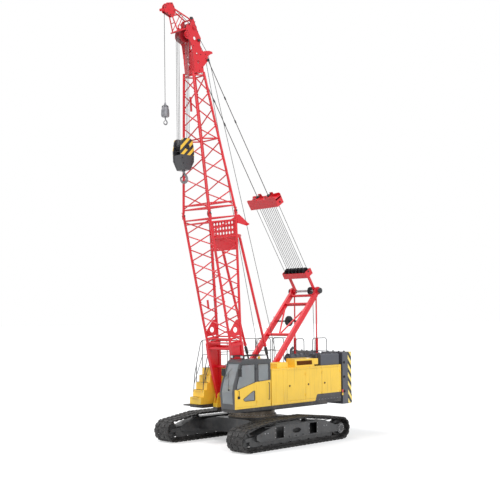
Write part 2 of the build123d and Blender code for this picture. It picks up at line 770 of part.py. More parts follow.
def boom_place(y, z):
    """World (y, z) of a point given in the boom's frame."""
    return (boom_foot[0] + y * cos(lean) - z * sin(lean), boom_foot[1] + y * sin(lean) + z * cos(lean))


joint_at = base_length
head_at = base_length + tip_length


def between(low, high, share):
    """Value part of the way from low to high."""
    return low + (high - low) * share


def section_half(z):
    """Half width and half depth of the lattice at a height along the boom."""
    if z <= joint_at:
        share = (z - legs_height) / (joint_at - legs_height)
        return tuple(between(a, b, share) for a, b in zip(legs_half, base_half))
    share = (z - joint_at) / tip_length
    return tuple(between(a, b, share) for a, b in zip(base_half, tip_half))


def corner(x_sign, y_sign, z):
    """Centre of one chord at a height along the boom."""
    half_x, half_y = section_half(z)
    return (x_sign * half_x, y_sign * half_y, z)


corners = ((-1, -1), (1, -1), (1, 1), (-1, 1))      # x sign and y sign of the four chords
lug_height = 130
base_panels = 9
tip_panels = 8
brace_step = 42                 # between the ends of neighbouring braces and the node
rear_plate_levels = (joint_at - 1490, joint_at - 310)


def panel_level(low, high, panels, point):
    """Height of a panel point of a lattice, which begins and ends 90 mm inside its chords."""
    return between(low + 90, high - 90, point / panels)


def lattice(low, high, panels, frames=(), plated=()):
    """Tubes of four chords, with zigzag braces on all faces and square frames at the ends.

    Frames are also put at the panel points in frames, and panels in plated have no rear brace.
    """
    tubes = [rod(corner(*sign, low), corner(*sign, high), chord_radius) for sign in corners]
    for here, there in zip(corners, corners[1:] + corners[:1]):
        for point in (0, *frames, panels):
            level = panel_level(low, high, panels, point)
            tubes.append(rod(corner(*here, level), corner(*there, level), brace_radius + 4))
        rear = here[1] == there[1] == 1
        for panel in range(panels):
            if rear and panel in plated:
                continue
            z0 = panel_level(low, high, panels, panel)
            z1 = panel_level(low, high, panels, panel + 1)
            start, end = (there, here) if panel % 2 else (here, there)
            tubes.append(rod(corner(*start, z0 + brace_step), corner(*end, z1 - brace_step), brace_radius))
    return tubes


def side_box(low, high):
    """Upright box bar at the middle of the right face, on the brace that crosses there."""
    start, end = section_half(low)[0], section_half(high)[0]
    return bar((-start, 0, low), (-end, 0, high), 56, 60)


def joint_ears(x, y):
    """Two ears of the base section at one chord of the joint."""
    solid = block((x - 50, x + 50), (y - 50, y + 50), (joint_at - lug_height, joint_at - lug_height + 30))
    for inner in (x - 46, x + 24):
        solid = solid + block((inner, inner + 22), (y - 42, y + 42), (joint_at - lug_height + 29, joint_at))
        solid = solid + cross((inner, inner + 22), y, joint_at, 42)
    return solid - cross((x - 60, x + 60), y, joint_at, joint_pin + pin_clearance)


def joint_eye(x, y):
    """Single eye of the tip section between two ears."""
    solid = block((x - 50, x + 50), (y - 50, y + 50), (joint_at + lug_height - 30, joint_at + lug_height))
    solid = solid + block((x - 23.7, x + 23.7), (y - 42, y + 42), (joint_at, joint_at + lug_height - 29))
    solid = solid + cross((x - 23.7, x + 23.7), y, joint_at, 42)
    return solid - cross((x - 60, x + 60), y, joint_at, joint_pin + pin_clearance)


joint_pin = 24


def boom_leg():
    """Solid-webbed left leg from the foot eye up to the first lattice frame."""
    half_y = legs_half[1] + chord_radius
    x = (foot_half - eye_width / 2, foot_half + eye_width / 2)
    leg = slab_yz([(-half_y, legs_height), (-half_y + 10, legs_height - 500), (-100, 60), (100, 60),
                   (half_y - 10, legs_height - 500), (half_y, legs_height)], x)
    leg = leg + cross(x, 0, 0, 120)
    hollow = slab_yz([(-half_y + 110, legs_height - 130), (-half_y + 130, legs_height - 560), (-60, 420),
                      (60, 420), (half_y - 130, legs_height - 560), (half_y - 110, legs_height - 130)],
                     (x[0] - 1, x[0] + 45))
    leg = leg - hollow - mirror(hollow, about=Plane.YZ.offset(foot_half))
    return leg - cross((x[0] - 1, x[1] + 1), 0, 0, boom_pin + pin_clearance)


def base_section():
    """Pieces of the lower section: two legs joined by cross tubes, then the lattice up to the joint."""
    half_y = legs_half[1]
    span = (legs_height - 60, joint_at - lug_height + 15, base_panels)
    pieces = lattice(*span, (0.3, base_panels - 0.27), (base_panels - 2, base_panels - 1))
    crossing = panel_level(*span, 2.5)
    pieces += [boom_leg(), mirrored(boom_leg()), side_box(crossing - 46.3889, crossing + 313.6111)]
    for y, z in ((-half_y + 40, legs_height - 200), (half_y - 40, legs_height - 200), (0, legs_height - 950)):
        pieces.append(cross((-foot_half, foot_half), y, z, 55))
    for x_sign, y_sign in corners:
        x, y = x_sign * base_half[0], y_sign * base_half[1]
        pieces.append(joint_ears(x, y))
    # Rear beam with the ears that the backstops pin to
    pin_z, pin_y = backstop_pin
    half_x, half_y = section_half(pin_z)
    for side in (-1, 1):
        for inner in (side * stop_x - 50, side * stop_x + 24):
            ear = slab_yz([(half_y, pin_z - 120), (half_y, pin_z + 130), (pin_y, pin_z + 50), (pin_y, pin_z - 50)],
                          (inner, inner + 26))
            ear = ear + cross((inner, inner + 26), pin_y, pin_z, 55)
            pieces.append(ear - cross((inner - 1, inner + 27), pin_y, pin_z, 26 + pin_clearance))
    pieces.append(cross((-half_x, half_x), half_y, pin_z, 58))
    return pieces


def rear_plate():
    """Plate between the rear chords below the joint: drilled in its upper part, folded ribs below."""
    low, high = rear_plate_levels
    d0, d1 = section_half(low)[1], section_half(high)[1]
    reach = section_half(low)[0]
    plate = slab_yz([(d0 - 8, low), (d0 + 8, low), (d1 + 8, high), (d1 - 8, high)], (-reach, reach))
    for row in range(3):
        z = high - 130 - 190 * row
        for column in range(-3, 4):
            plate = plate - rod((170 * column, d0 - 60, z), (170 * column, d1 + 60, z), 52)
    for level in (low + 12, low + 160, low + 310):
        d = section_half(level)[1]
        plate = plate + block((-reach, reach), (d - 7, d + 60), (level - 9, level + 9))
    return plate


def rope_arm():
    """Arm behind the left rear chord, with a roller at its end."""
    z = joint_at - 320
    chord_x, chord_y = section_half(z)
    x = (chord_x - 12, chord_x + 12)
    arm = slab_yz([(chord_y, z + 165), (chord_y + 190, z + 155), (1240, z - 180), (1275, z - 280),
                   (1190, z - 310), (chord_y + 120, z - 180), (chord_y, z - 180)], x)
    foot = block((x[0] - 40, x[1] + 40), (chord_y + 20, chord_y + 80), (z - 160, z + 140))
    return arm + foot + cross((x[0] - 60, x[1] + 60), 1235, z - 250, 34)


def leg_gusset():
    """Gusset with a round opening between the left chords, above the leg."""
    x = section_half(2700)[0]
    front, rear = -section_half(2400)[1], section_half(2400)[1]
    plate = slab_yz([(front, 2390), (rear, 2390), (rear + 30, 3010), (rear - 160, 2990), (front - 10, 2560)],
                    (x - 8, x + 8))
    return plate - cross((x - 9, x + 9), 40, 2620, 105)


def tip_section():
    """Pieces of the upper section: the lattice from the joint to the head, with its eyes."""
    span = (joint_at + lug_height - 15, head_at + 15, tip_panels)
    pieces = lattice(*span, (0.25, tip_panels / 2 + 0.14))
    crossing = panel_level(*span, tip_panels - 1.5)
    pieces.append(side_box(crossing - 321.25, crossing + 228.75))
    for x_sign, y_sign in corners:
        pieces.append(joint_eye(x_sign * base_half[0], y_sign * base_half[1]))
    return pieces


def joint_pins():
    """Four pins between the two sections."""
    return [cross((x_sign * base_half[0] - 62, x_sign * base_half[0] + 62), y_sign * base_half[1], joint_at,
                  joint_pin) for x_sign, y_sign in corners]


# Boom head, in the boom's frame, measured up from the end of the tip section
main_shaft = (-140 - main_sheave, 1398)     # sheave shaft in the head: y, and z above the tip section
head_nose = main_shaft[0]       # the front of the side plates follows the shaft
head_outline = [(-205, 20.3), (-190, 580), (-205, 1110), (-300, 1230), (head_nose - 70, 1270),
                (head_nose - 125, 1370), (head_nose - 110, 1480), (head_nose - 30, 1540), (-350, 1725),
                (-15, 2055), (30, 2040), (191, 1525), (300, 1315), (215, 1030), (285, 855), (465, 775),
                (590, 550), (455, 400), (265, 245), (265, 20.3)]
head_half = 285                 # outside of the side plates
guide_shaft = (30, 1690)
shaft_radius = 60
head_holes = ((-22, 1290, 67), (-200, 1830, 70), (25, 420, 57), (11, 720, 42))     # y, z, radius


def head_point(y, z):
    """Boom-frame point measured from the end of the tip section."""
    return (y, head_at + z)


main_axis = boom_place(*head_point(*main_shaft))        # y, z of the main sheave shaft at rest
aux_axis = boom_place(*head_point(*aux_reach))          # and of the auxiliary sheave


def boom_head():
    """Two side plates with ringed lightening holes, joined by cross tubes and a front plate."""
    points = [head_point(y, z) for y, z in head_outline]
    plate = slab_yz(points, (head_half - head_plate, head_half))
    span = (head_half - head_plate - 1, head_half + 7)
    for y, z, radius in (*head_holes, (*main_shaft, 85), (*guide_shaft, 85)):
        plate = plate + cross((head_half - 1, head_half + 6), *head_point(y, z), radius + 22)
    for y, z, radius in head_holes:
        plate = plate - cross(span, *head_point(y, z), radius)
    for y, z in (main_shaft, guide_shaft):
        plate = plate - cross(span, *head_point(y, z), shaft_radius + pin_clearance)
    plate = plate - cross(span, *head_point(*stay_anchor), stay_pin + pin_clearance)
    plates = both_sides(plate)
    inner = head_half - head_plate / 2
    ties = [cross((-inner, inner), *head_point(y, z), radius)
            for y, z, radius in ((-150, 72, 45), (205, 72, 45), (120, 560, 50), (-130, 860, 45), (60, 1420, 40))]
    feet = []
    for x_sign, y_sign in corners:
        half_x, half_y = tip_half
        feet.append(block(sorted((x_sign * (half_x - 40), x_sign * (head_half - 1))),
                          sorted((y_sign * (half_y - 110), y_sign * (half_y + 45))), (head_at + 20.3, head_at + 60)))
    web = slab_yz([head_point(y, z) for y, z in ((-203, 24), (-190, 520), (-196, 780), (-182, 780), (-176, 520),
                                                 (-189, 24))], (-inner, inner))
    for z in (200, 400, 600):
        y_low, z_hole = head_point(-300, z)
        web = web - rod((0, y_low, z_hole), (0, y_low + 200, z_hole), 70)
    return fuse(*plates, *ties, *feet, web, *head_roller())


def head_roller():
    """Roller for the hoist ropes behind the head, on two arms inside the side plates."""
    outer = head_half - head_plate + 1
    points = [head_point(y, z) for y, z in ((330, 740), (420, 850), (700, 872), (835, 840), (835, 770), (700, 730),
                                           (560, 640), (440, 620))]
    arms = [slab_yz(points, sorted((side * (outer - 22), side * outer))) for side in (-1, 1)]
    return [*arms, cross((-outer + 1, outer - 1), *head_point(768, 806), 45)]


stay_pin = 32
main_sheave_places = (-80, 0, 80)


def sheave(x, y, z, radius, width, bore):
    """Grooved rope wheel about an axis along X; radius is that of the rope's centre line."""
    rim = radius + 26
    half = width / 2
    floor = radius - rope_radius - 0.3
    section = [(x - half, bore), (x + half, bore), (x + half, rim), (x + 18, rim), (x + 12, floor), (x - 12, floor),
               (x - 18, rim), (x - half, rim)]
    face = make_face(Polyline(*[(px, y, z + pr) for px, pr in section], close=True))
    return revolve(face, Axis((x, y, z), (1, 0, 0)), 360)


def head_sheaves():
    """Main sheaves on their shaft, and the two guide sheaves above them."""
    y, z = head_point(*main_shaft)
    bodies = [sheave(x, y, z, main_sheave, 74, shaft_radius) for x in main_sheave_places]
    shaft = cross((-head_half - 20, head_half + 20), y, z, shaft_radius)
    lower = fuse(shaft, *bodies)
    y, z = head_point(*guide_shaft)
    upper = fuse(cross((-head_half - 20, head_half + 20), y, z, shaft_radius),
                 *[sheave(x, y, z, 190, 74, shaft_radius) for x in (-60, 60)])
    return lower, upper


# Auxiliary head: a short lattice arm ahead of the boom head, with one sheave
aux_half = 150                  # half width of the arm at the boom head
aux_fork = 62                   # half of the gap between the fork plates
aux_low = (head_nose - main_sheave - 90, 1545)      # lower and upper roots on the boom head, y and z
aux_high = (0, 2010)


def aux_head():
    """Tapered arm of four tubes with a two-plate fork at its end."""
    fork = head_point(*aux_reach)
    pieces = []
    tip_low = (fork[0] + 60, fork[1] - 190)
    tip_high = (fork[0] + 210, fork[1] + 30)
    root_low, root_high = head_point(*aux_low), head_point(*aux_high)
    for side in (-1, 1):
        low_start, low_end = (side * aux_half, *root_low), (side * (aux_fork + 10), *tip_low)
        high_start, high_end = (side * aux_half, *root_high), (side * (aux_fork + 10), *tip_high)
        pieces += [rod(low_start, low_end, 24), rod(high_start, high_end, 24)]
        foot = tuple(between(a, b, 0.08) for a, b in zip(low_start, low_end))
        toe = tuple(between(a, b, 0.93) for a, b in zip(low_start, low_end))
        near, far = (tuple(between(a, b, share) for a, b in zip(high_start, high_end)) for share in (0.44, 0.56))
        pieces += [rod(foot, near, 16), rod(far, toe, 16)]
        outline = [(fork[0] - 265, fork[1] - 5), (fork[0] - 215, fork[1] + 130), (fork[0] - 120, fork[1] + 215),
                   (fork[0] + 160, fork[1] + 250), (fork[0] + 290, fork[1] - 40), (fork[0] + 150, fork[1] - 275),
                   (fork[0] + 60, fork[1] - 275), (fork[0] - 265, fork[1] - 130)]
        plate = slab_yz(outline, sorted((side * aux_fork, side * (aux_fork + 18))))
        plate = plate - cross(sorted((side * (aux_fork - 1), side * (aux_fork + 19))), *fork, 38 + pin_clearance)
        pieces.append(plate)
        x = side * 227
        lug_root = head_point(-330, 1640)
        pieces.append(bar((x, *lug_root), (x, *root_low), 44, 60))
        pieces.append(cross(sorted((side * 206, side * (head_half - head_plate - 0.3))), *lug_root, 26))
        cheek = block(sorted((side * 25, side * 50)), (fork[0] - 400, fork[0] - 237), (fork[1] - 95, fork[1] - 10))
        pieces.append(cheek)
    pieces.append(cross((-249, 249), *root_low, 30))
    pieces.append(cross((-head_half + head_plate + 0.3, head_half - head_plate - 0.3), *root_high, 30))
    for start, end in ((root_low, tip_low), (root_high, tip_high)):
        y, z = between(start[0], end[0], 0.5), between(start[1], end[1], 0.5)
        half = between(aux_half, aux_fork + 10, 0.5)
        pieces.append(cross((-half, half), y, z, 17))
    for y, z, radius in ((fork[0] + 190, fork[1] + 185, 20), (fork[0] + 110, fork[1] - 245, 18)):
        pieces.append(cross((-aux_fork - 1, aux_fork + 1), y, z, radius))
    pieces.append(block((-aux_fork - 1, aux_fork + 1), (fork[0] - 262, fork[0] - 236), (fork[1] - 100, fork[1] - 5)))
    return fuse(*pieces)


def aux_head_sheave():
    """Single sheave in the fork of the auxiliary head."""
    y, z = head_point(*aux_reach)
    return fuse(sheave(0, y, z, aux_sheave, 70, 38), cross((-aux_fork - 30, aux_fork + 30), y, z, 38))


# ---------------------------------------------------------------- gantry
leg_width = 130
leg_depth = 210


def gantry_point(share, aside=0):
    """World (y, z) along the gantry leg from foot to top, moved rearwards across the leg."""
    (y0, z0), (y1, z1) = gantry_foot, gantry_top
    length = hypot(y1 - y0, z1 - z0)
    along = ((y1 - y0) / length, (z1 - z0) / length)
    return (between(y0, y1, share) + along[1] * aside, between(z0, z1, share) - along[0] * aside)


def gantry_legs():
    """Two box legs leaning back from the deck to the gantry top, with their cross members."""
    y0, z0 = gantry_foot
    y1, z1 = gantry_top
    pieces = []
    for side in (-1, 1):
        x = side * gantry_half
        pieces.append(bar((x, *gantry_point(0.024)), (x, *gantry_point(0.965)), leg_width, leg_depth))
        pieces.append(bar((x, y0, z0), (x, *gantry_point(0.05)), gantry_eye, 160))
        pieces.append(bar((x, *gantry_point(0.95)), (x, y1, z1), gantry_eye, leg_depth))
        for y, z, radius in ((y0, z0, 105), (y1, z1, 165)):
            pieces.append(cross((x - gantry_eye / 2, x + gantry_eye / 2), y, z, radius))
    leg = fuse(*pieces)
    inner = gantry_half - leg_width / 2 + 5
    members = []
    for share, aside, radius in ((0.56, 0, 60), (0.863, -48, 36), (0.863, 48, 36), (0.955, 20, 55)):
        members.append(cross((-inner, inner), *gantry_point(share, aside), radius))
    for side in (-1, 1):
        start, end = gantry_point(0.85), gantry_point(0.56)
        members.append(rod((side * inner, *start), (0, *end), 34))
    legs = leg + members
    for side in (-1, 1):
        x = side * gantry_half
        span = (x - leg_width, x + leg_width)
        legs = legs - cross(span, y0, z0, gantry_pin + pin_clearance)
        legs = legs - cross(span, y1, z1, top_shaft + pin_clearance)
    return legs


top_shaft = 50


def gantry_shaft():
    """Shaft through the gantry's top eyes."""
    return cross((-gantry_half - 150, gantry_half + 150), *gantry_top, top_shaft)


gantry_ear = 26


def gantry_ears():
    """Ears on the girders, inside the gantry's feet."""
    y, z = gantry_foot
    x = gantry_half - gantry_eye / 2 - 2 - gantry_ear
    ear = lug_yz((y, z), (y - 190, y + 190, girder_high - 2), 105, gantry_ear, x)
    return both_sides(ear - cross((x - 1, x + gantry_ear + 1), y, z, gantry_pin + pin_clearance))


def gantry_pins():
    """Pins through the gantry's feet."""
    x = (gantry_half - gantry_eye / 2 - gantry_ear - 14, gantry_half + gantry_eye / 2 + 14)
    return both_sides(cross(x, *gantry_foot, gantry_pin))


strut_foot = 3200               # y of the tie rods' feet on the girders
strut_radius = 30
cylinder_radius = 62


def girder_top(y):
    """Level of the girders' upper side on their sloping rear part."""
    return between(girder_high, girder_high - 180, (y - 1900) / (tail_front - 110 - 1900))


def gantry_struts():
    """Upright tie rods from the gantry top to the girders, with the raising cylinders at their lower ends."""
    y, z = gantry_top
    x = gantry_half - gantry_eye / 2 - 37
    eye = cross((x - 22, x + 22), y, z, 88)
    upper = rod((x, y, z - 70), (x, y, 3950), strut_radius)
    lower = rod((x, y, 3955), (x, y, 1680), cylinder_radius)
    front, rear = strut_foot - 100, strut_foot + 100
    foot = slab_yz([(front, girder_top(front) + 0.3), (rear, girder_top(rear) + 0.3), (rear - 30, 1700),
                    (front + 30, 1700)], (x - 45, x + 45))
    strut = fuse(eye, upper, lower, foot) - cross((x - 45, x + 45), y, z, top_shaft + pin_clearance)
    return both_sides(strut)


middle_sheave = gantry_point(0.705, 74)     # y, z of the cross shaft with the luffing rope's guide sheave


def gantry_sheaves():
    """Guide sheaves of the luffing rope: one on a cross shaft between the legs, one on the top shaft."""
    reach = gantry_half - leg_width / 2 - 0.3
    middle = fuse(cross((-reach, reach), *middle_sheave, 30), sheave(0, *middle_sheave, 190, 62, 30))
    return [middle, sheave(300, *gantry_top, 140, 62, top_shaft + pin_clearance)]


# ---------------------------------------------------------------- stays
anchor = boom_place(*head_point(*stay_anchor))
stay_run = hypot(anchor[0] - gantry_top[0], anchor[1] - gantry_top[1])
stay_along = ((anchor[0] - gantry_top[0]) / stay_run, (anchor[1] - gantry_top[1]) / stay_run)
stay_frame = Location(Plane(origin=(0, *gantry_top), x_dir=(1, 0, 0), z_dir=(0, *stay_along)))
# The stay frame has its origin at the gantry top shaft and z along the stays towards the boom head.
# Its y axis points rearwards and up.

bail_half = 660
block_inside = 182              # from the sheave shafts to the plates of bail and spreader
block_plate = 16
bail_link_x = gantry_half - 180
rope_sheave = 170
bail_sheaves = tuple(-500 + 200 * index for index in range(6))
spreader_half = 775
pendant_x = head_half + 2.3 + 20
pendant_radius = 15
pendant_links = (0.56, 0.73)    # places of the links, as shares of the way to the boom head


def bail():
    """Lower sheave block: two links on the gantry shaft and the plates round the sheave shaft."""
    pieces = []
    for side in (-1, 1):
        x = sorted((side * bail_link_x, side * (bail_link_x + 40)))
        pieces.append(cross(x, 0, 0, 92))
        pieces.append(block(x, (-66, 66), (0, bail_reach - 214)))
    depth = block_inside + 1
    for y in (-block_inside - block_plate, block_inside):
        pieces.append(block((-bail_half, bail_half), (y, y + block_plate), (bail_reach - 215, bail_reach + 30)))
    pieces.append(block((-bail_half, bail_half), (-depth, depth), (bail_reach - 215, bail_reach - 190)))
    for x in (-bail_half, bail_half - 24):
        pieces.append(block((x, x + 24), (-depth, depth), (bail_reach - 214, bail_reach + 60)))
    body = fuse(*pieces)
    for side in (-1, 1):
        x = sorted((side * (bail_link_x - 1), side * (bail_link_x + 41)))
        body = body - cross(x, 0, 0, top_shaft + pin_clearance)
    body = body - cross((-bail_half - 1, bail_half + 1), 0, bail_reach, 36 + pin_clearance)
    return body


def rope_sheaves(reach, half):
    """Row of rope sheaves on one shaft in the stay frame."""
    wheels = [sheave(x, 0, reach, rope_sheave - 26, 60, 36) for x in bail_sheaves]
    return fuse(cross((-half - 14, half + 14), 0, reach, 36), *wheels)


def spreader():
    """Upper sheave block, with the notch and lugs that the two pendants pin to."""
    low, high = spreader_reach - 120, spreader_reach + 330
    outline = [(-spreader_half, low), (spreader_half, low), (spreader_half + 10, high - 30),
               (spreader_half - 60, high), (pendant_x + 120, high - 20), (pendant_x + 110, high + 60),
               (pendant_x - 60, high + 60), (pendant_x - 90, high - 60), (-pendant_x + 90, high - 60),
               (-pendant_x + 60, high + 60), (-pendant_x - 110, high + 60), (-pendant_x - 120, high - 20),
               (-spreader_half + 60, high), (-spreader_half - 10, high - 30)]
    depth = block_inside + 1
    pieces = [slab_xz(outline, (y, y + block_plate)) for y in (-block_inside - block_plate, block_inside)]
    for x in (-spreader_half, spreader_half - 24):
        pieces.append(block((x, x + 24), (-depth, depth), (low, spreader_reach + 130)))
    pieces.append(block((-spreader_half + 1, spreader_half - 1), (-depth, depth),
                        (spreader_reach + 195, spreader_reach + 219)))
    body = fuse(*pieces)
    body = body - cross((-spreader_half - 1, spreader_half + 1), 0, spreader_reach, 36 + pin_clearance)
    for x in (-pendant_x, pendant_x):
        body = body - rod((x, -210, high + 5), (x, 210, high + 5), 24 + pin_clearance)
    return body


def spreader_pins():
    """Pins of the pendants in the spreader."""
    high = spreader_reach + 335
    reach = block_inside + block_plate + 10
    return [rod((x, -reach, high), (x, reach, high), 24) for x in (-pendant_x, pendant_x)]


def pendants():
    """Two stay rods from the spreader to the boom head, with an eye at each end and two links between."""
    rods = []
    start, end = spreader_reach + 335, stay_run
    for side in (-1, 1):
        x = side * pendant_x
        low_eye = rod((x, -40, start), (x, 40, start), 52)
        low_eye = low_eye - rod((x, -41, start), (x, 41, start), 24 + pin_clearance)
        high_eye = cross((x - 20, x + 20), 0, end, 56) - cross((x - 21, x + 21), 0, end, stay_pin + pin_clearance)
        shaft = rod((x, 0, start + 45), (x, 0, end - 45), pendant_radius)
        links = []
        for share in pendant_links:
            middle = between(start, end, share)
            links.append(block((x - 21, x + 21), (-19, 19), (middle - 62, middle + 62)))
        rods.append(fuse(low_eye, high_eye, shaft, *links))
    return rods


def stay_head_pins():
    """Pins of the pendants in the boom head's side plates."""
    y, z = head_point(*stay_anchor)
    inner = head_half - head_plate - 12
    return [cross(sorted((side * inner, side * (head_half + 2))), y, z, stay_pin) for side in (-1, 1)]


# ---------------------------------------------------------------- backstops
stop_top = boom_place(backstop_pin[1], backstop_pin[0])
stop_run = hypot(backstop_seat[0] - stop_top[0], backstop_seat[1] - stop_top[1])
stop_along = ((backstop_seat[0] - stop_top[0]) / stop_run, (backstop_seat[1] - stop_top[1]) / stop_run)
stop_frame = Location(Plane(origin=(0, *stop_top), x_dir=(1, 0, 0), z_dir=(0, *stop_along)))
# The stop frame has its origin at the upper pin and z down along the strut.
barrel_length = 4500
barrel_radius = 52
barrel_bore = 40
stop_rod = 36


def backstop_barrels():
    """Upper halves of the two telescopic backstops, hollow at the lower end."""
    barrels = []
    for side in (-1, 1):
        x = side * stop_x
        eye = cross((x - 22, x + 22), 0, 0, 50) + block((x - 22, x + 22), (-36, 36), (0, 110))
        tube = rod((x, 0, 95), (x, 0, barrel_length), barrel_radius)
        collar = rod((x, 0, barrel_length - 120), (x, 0, barrel_length), barrel_radius + 12)
        bore = rod((x, 0, 1900), (x, 0, barrel_length + 1), barrel_bore)
        barrels.append(fuse(eye, tube, collar) - bore - cross((x - 23, x + 23), 0, 0, 26 + pin_clearance))
    return barrels


def backstop_rods():
    """Lower halves of the backstops, with a buffer eye at the deck end."""
    rods = []
    for side in (-1, 1):
        x = side * stop_x
        shaft = rod((x, 0, 2300), (x, 0, stop_run - 40), stop_rod)
        guide = rod((x, 0, 2300), (x, 0, 2420), barrel_bore - 0.3)
        buffer = rod((x, 0, barrel_length + 60), (x, 0, barrel_length + 330), 62)
        rods.append(fuse(shaft, guide, buffer, cross((x - 25, x + 25), 0, stop_run, 58)))
    return rods


def backstop_pins():
    """Pins of the backstops in the ears on the boom."""
    y, z = backstop_pin[1], backstop_pin[0]
    return [cross((side * stop_x - 52, side * stop_x + 52), y, z, 26) for side in (-1, 1)]


def backstop_seats():
    """Open brackets on the girders that the backstop eyes stand in."""
    y, z = backstop_seat
    seats = []
    for side in (-1, 1):
        x = side * stop_x
        for inner in (x - stop_rod - 9 - 20, x + stop_rod + 9):
            seats.append(slab_yz([(y - 330, girder_high - 2), (y + 330, girder_high - 2), (y + 90, z + 70),
                                  (y - 90, z + 70)], (inner, inner + 20)))
    return seats


# ---------------------------------------------------------------- hooks
block_half = (240, 325)         # half width and half depth of the main hook block
block_top = 11560
block_low = 10380
block_shaft_z = 11230
hook_bottom = 9880
fall_x = main_sheave_places
hook_bore = 58


def main_block():
    """Hook block: cheek plates and weights round four sheaves, with the cross head below."""
    y = main_axis[0]
    half_x, half_y = block_half
    outline = [(y - half_y, 11120), (y - 250, block_top - 60), (y - 140, block_top), (y + 140, block_top),
               (y + 250, block_top - 60), (y + half_y, 11120), (y + half_y - 15, 10700), (y + 130, block_low),
               (y - 130, block_low), (y - half_y + 15, 10700)]
    cheek = slab_yz(outline, (half_x - 52, half_x))
    cheek = cheek - cross((half_x - 53, half_x + 1), y, block_shaft_z, 45 + pin_clearance)
    inner = half_x - 52
    core = slab_yz([(y - 300, 10920), (y + 300, 10920), (y + 295, 10700), (y + 130, block_low),
                    (y - 130, block_low), (y - 295, 10700)], (-inner - 1, inner + 1))
    core = core - Pos(0, y, block_low - 1) * Cylinder(hook_bore + pin_clearance, 500,
                                                       align=(Align.CENTER, Align.CENTER, Align.MIN))
    return fuse(cheek, mirrored(cheek), core)


def block_sheaves():
    """Sheaves of the hook block on their shaft."""
    y = main_axis[0]
    wheels = [sheave(x, y, block_shaft_z, main_sheave, 74, 45) for x in fall_x]
    half = block_half[0]
    return fuse(cross((-half - 14, half + 14), y, block_shaft_z, 45), *wheels)


def hook(y, shank_top, shank_radius, throat, bottom, thick):
    """Single hook turned towards -Y, from its shank down to its bowl; throat is the bowl's inner radius."""
    centre_z = bottom + throat + thick * 1.15
    outer = throat + thick * 1.15
    bowl = cross((-thick / 2, thick / 2), y, centre_z, outer)
    bowl = bowl - cross((-thick, thick), y, centre_z, throat)
    gap = slab_yz([(y - throat * 0.05, centre_z), (y - throat * 0.30, centre_z + outer * 1.5),
                   (y - outer * 1.6, centre_z + outer * 1.5), (y - outer * 1.6, centre_z + throat * 0.25)],
                  (-thick, thick))
    bowl = bowl - gap
    shank = rod((0, y, centre_z + throat * 0.8), (0, y, shank_top), shank_radius)
    neck_block = slab_yz([(y - throat * 0.28, centre_z + throat * 0.9), (y + throat * 0.75, centre_z + throat * 0.7),
                          (y + shank_radius, centre_z + outer * 1.28), (y - shank_radius, centre_z + outer * 1.28)],
                         (-thick / 2, thick / 2))
    return fuse(bowl, shank, neck_block)


def main_hook():
    """Main hook with its shank in the cross head."""
    return hook(main_axis[0], block_low + 300, hook_bore, 95, hook_bottom, 95)


aux_top = 12790
aux_low_end = 12262             # underside of the auxiliary weight
aux_shank_top = 12345
aux_weight = ((0, 12262), (126, 12262), (146, 12285), (152, 12340), (147, 12500), (116, 12620), (96, 12640),
              (64, 12640), (60, 12665), (24, 12790), (0, 12790))    # radius and level of its outline
aux_hook_bottom = 11960
aux_y = aux_axis[0] - aux_sheave


def aux_ball():
    """Weight over the auxiliary hook: a barrel with a cone above it and the bore for the hook's shank."""
    face = make_face(Polyline(*[(radius, aux_y, z) for radius, z in aux_weight], close=True))
    body = revolve(face, Axis((0, aux_y, 0), (0, 0, 1)), 360)
    return body - rod((0, aux_y, aux_low_end - 1), (0, aux_y, aux_shank_top + 8), 30 + pin_clearance)


def aux_hook():
    """Auxiliary hook with its shank in the weight."""
    return hook(aux_y, aux_shank_top, 30, 54, aux_hook_bottom, 46)


def main_falls():
    """Falls of the main hoist rope between the head sheaves and the hook block."""
    y, z = main_axis
    ropes = []
    for x in fall_x:
        for reach in (-main_sheave, main_sheave):
            ropes.append(rod((x, y + reach, z), (x, y + reach, block_shaft_z), rope_radius))
    return ropes


def aux_fall():
    """Single fall of the auxiliary hoist rope."""
    return rod((0, aux_y, aux_axis[1]), (0, aux_y, aux_top + 0.3), rope_radius)


# ---------------------------------------------------------------- nodes
# Undercarriage
save("carbody", carbody())
save("track_frame_left", track_frame())
save("track_frame_right", mirrored(track_frame()))
save("track_left", track(1))
save("track_right", mirrored(track(1)))
save("idlers", both_sides(idler()))
save("travel_drives", *[both_sides(solid) for solid in (sprocket(), *travel_drive())])
save("track_rollers", *[both_sides(solid) for solid in rollers() + carriers()])
save("slew_ring_lower", ring(ring_radius, ring_bore, carbody_top, carbody_top + ring_lower_height))

# Upper structure
save("slew_ring_upper", ring(ring_radius - 60, ring_bore, carbody_top + ring_lower_height + ring_gap, deck_low))
stands = [plate for _, *sizes in winch_table for plate in winch_stand(*sizes)]
save("deck_frame", fuse(deck_frame(), *boom_ears(), *gantry_ears(), *backstop_seats(), *stands))
save("side_ledges", side_ledges(), foot_plate())
save("deck_pins", boom_pins(), gantry_pins(), gantry_shaft())
save("housing_left", housing(1, left_doors))
save("housing_right", housing(-1, right_doors))
for side, name, doors in ((1, "left", left_doors), (-1, "right", right_doors)):
    for number, (front, rear) in enumerate(doors, start=1):
        save(f"housing_door_{name}_{number}", housing_door(side, front, rear))
save("engine_block", engine())
save("hydraulic_tank", hydraulic_tank())
save("intake_hood", *intake_hood())
save("silencer", exhaust())
save("cooler_box", roof_box())
save("counterweight", counterweight_base(), counterweight_slabs(), counterweight_centre())
save("cab_shell", cab_shell())
save("cab_glass", cab_glass())
save("cab_door", cab_door())
save("cab_door_glass", door_glass())
seat, console = cab_inside()
save("cab_seat", seat)
save("cab_console", console)
save("step_tank", step_tank())
for name, *sizes in winch_table:
    save(name, drum(*sizes))
save("gantry_legs", gantry_legs())
save("gantry_struts", gantry_struts())
save("gantry_sheaves", gantry_sheaves())

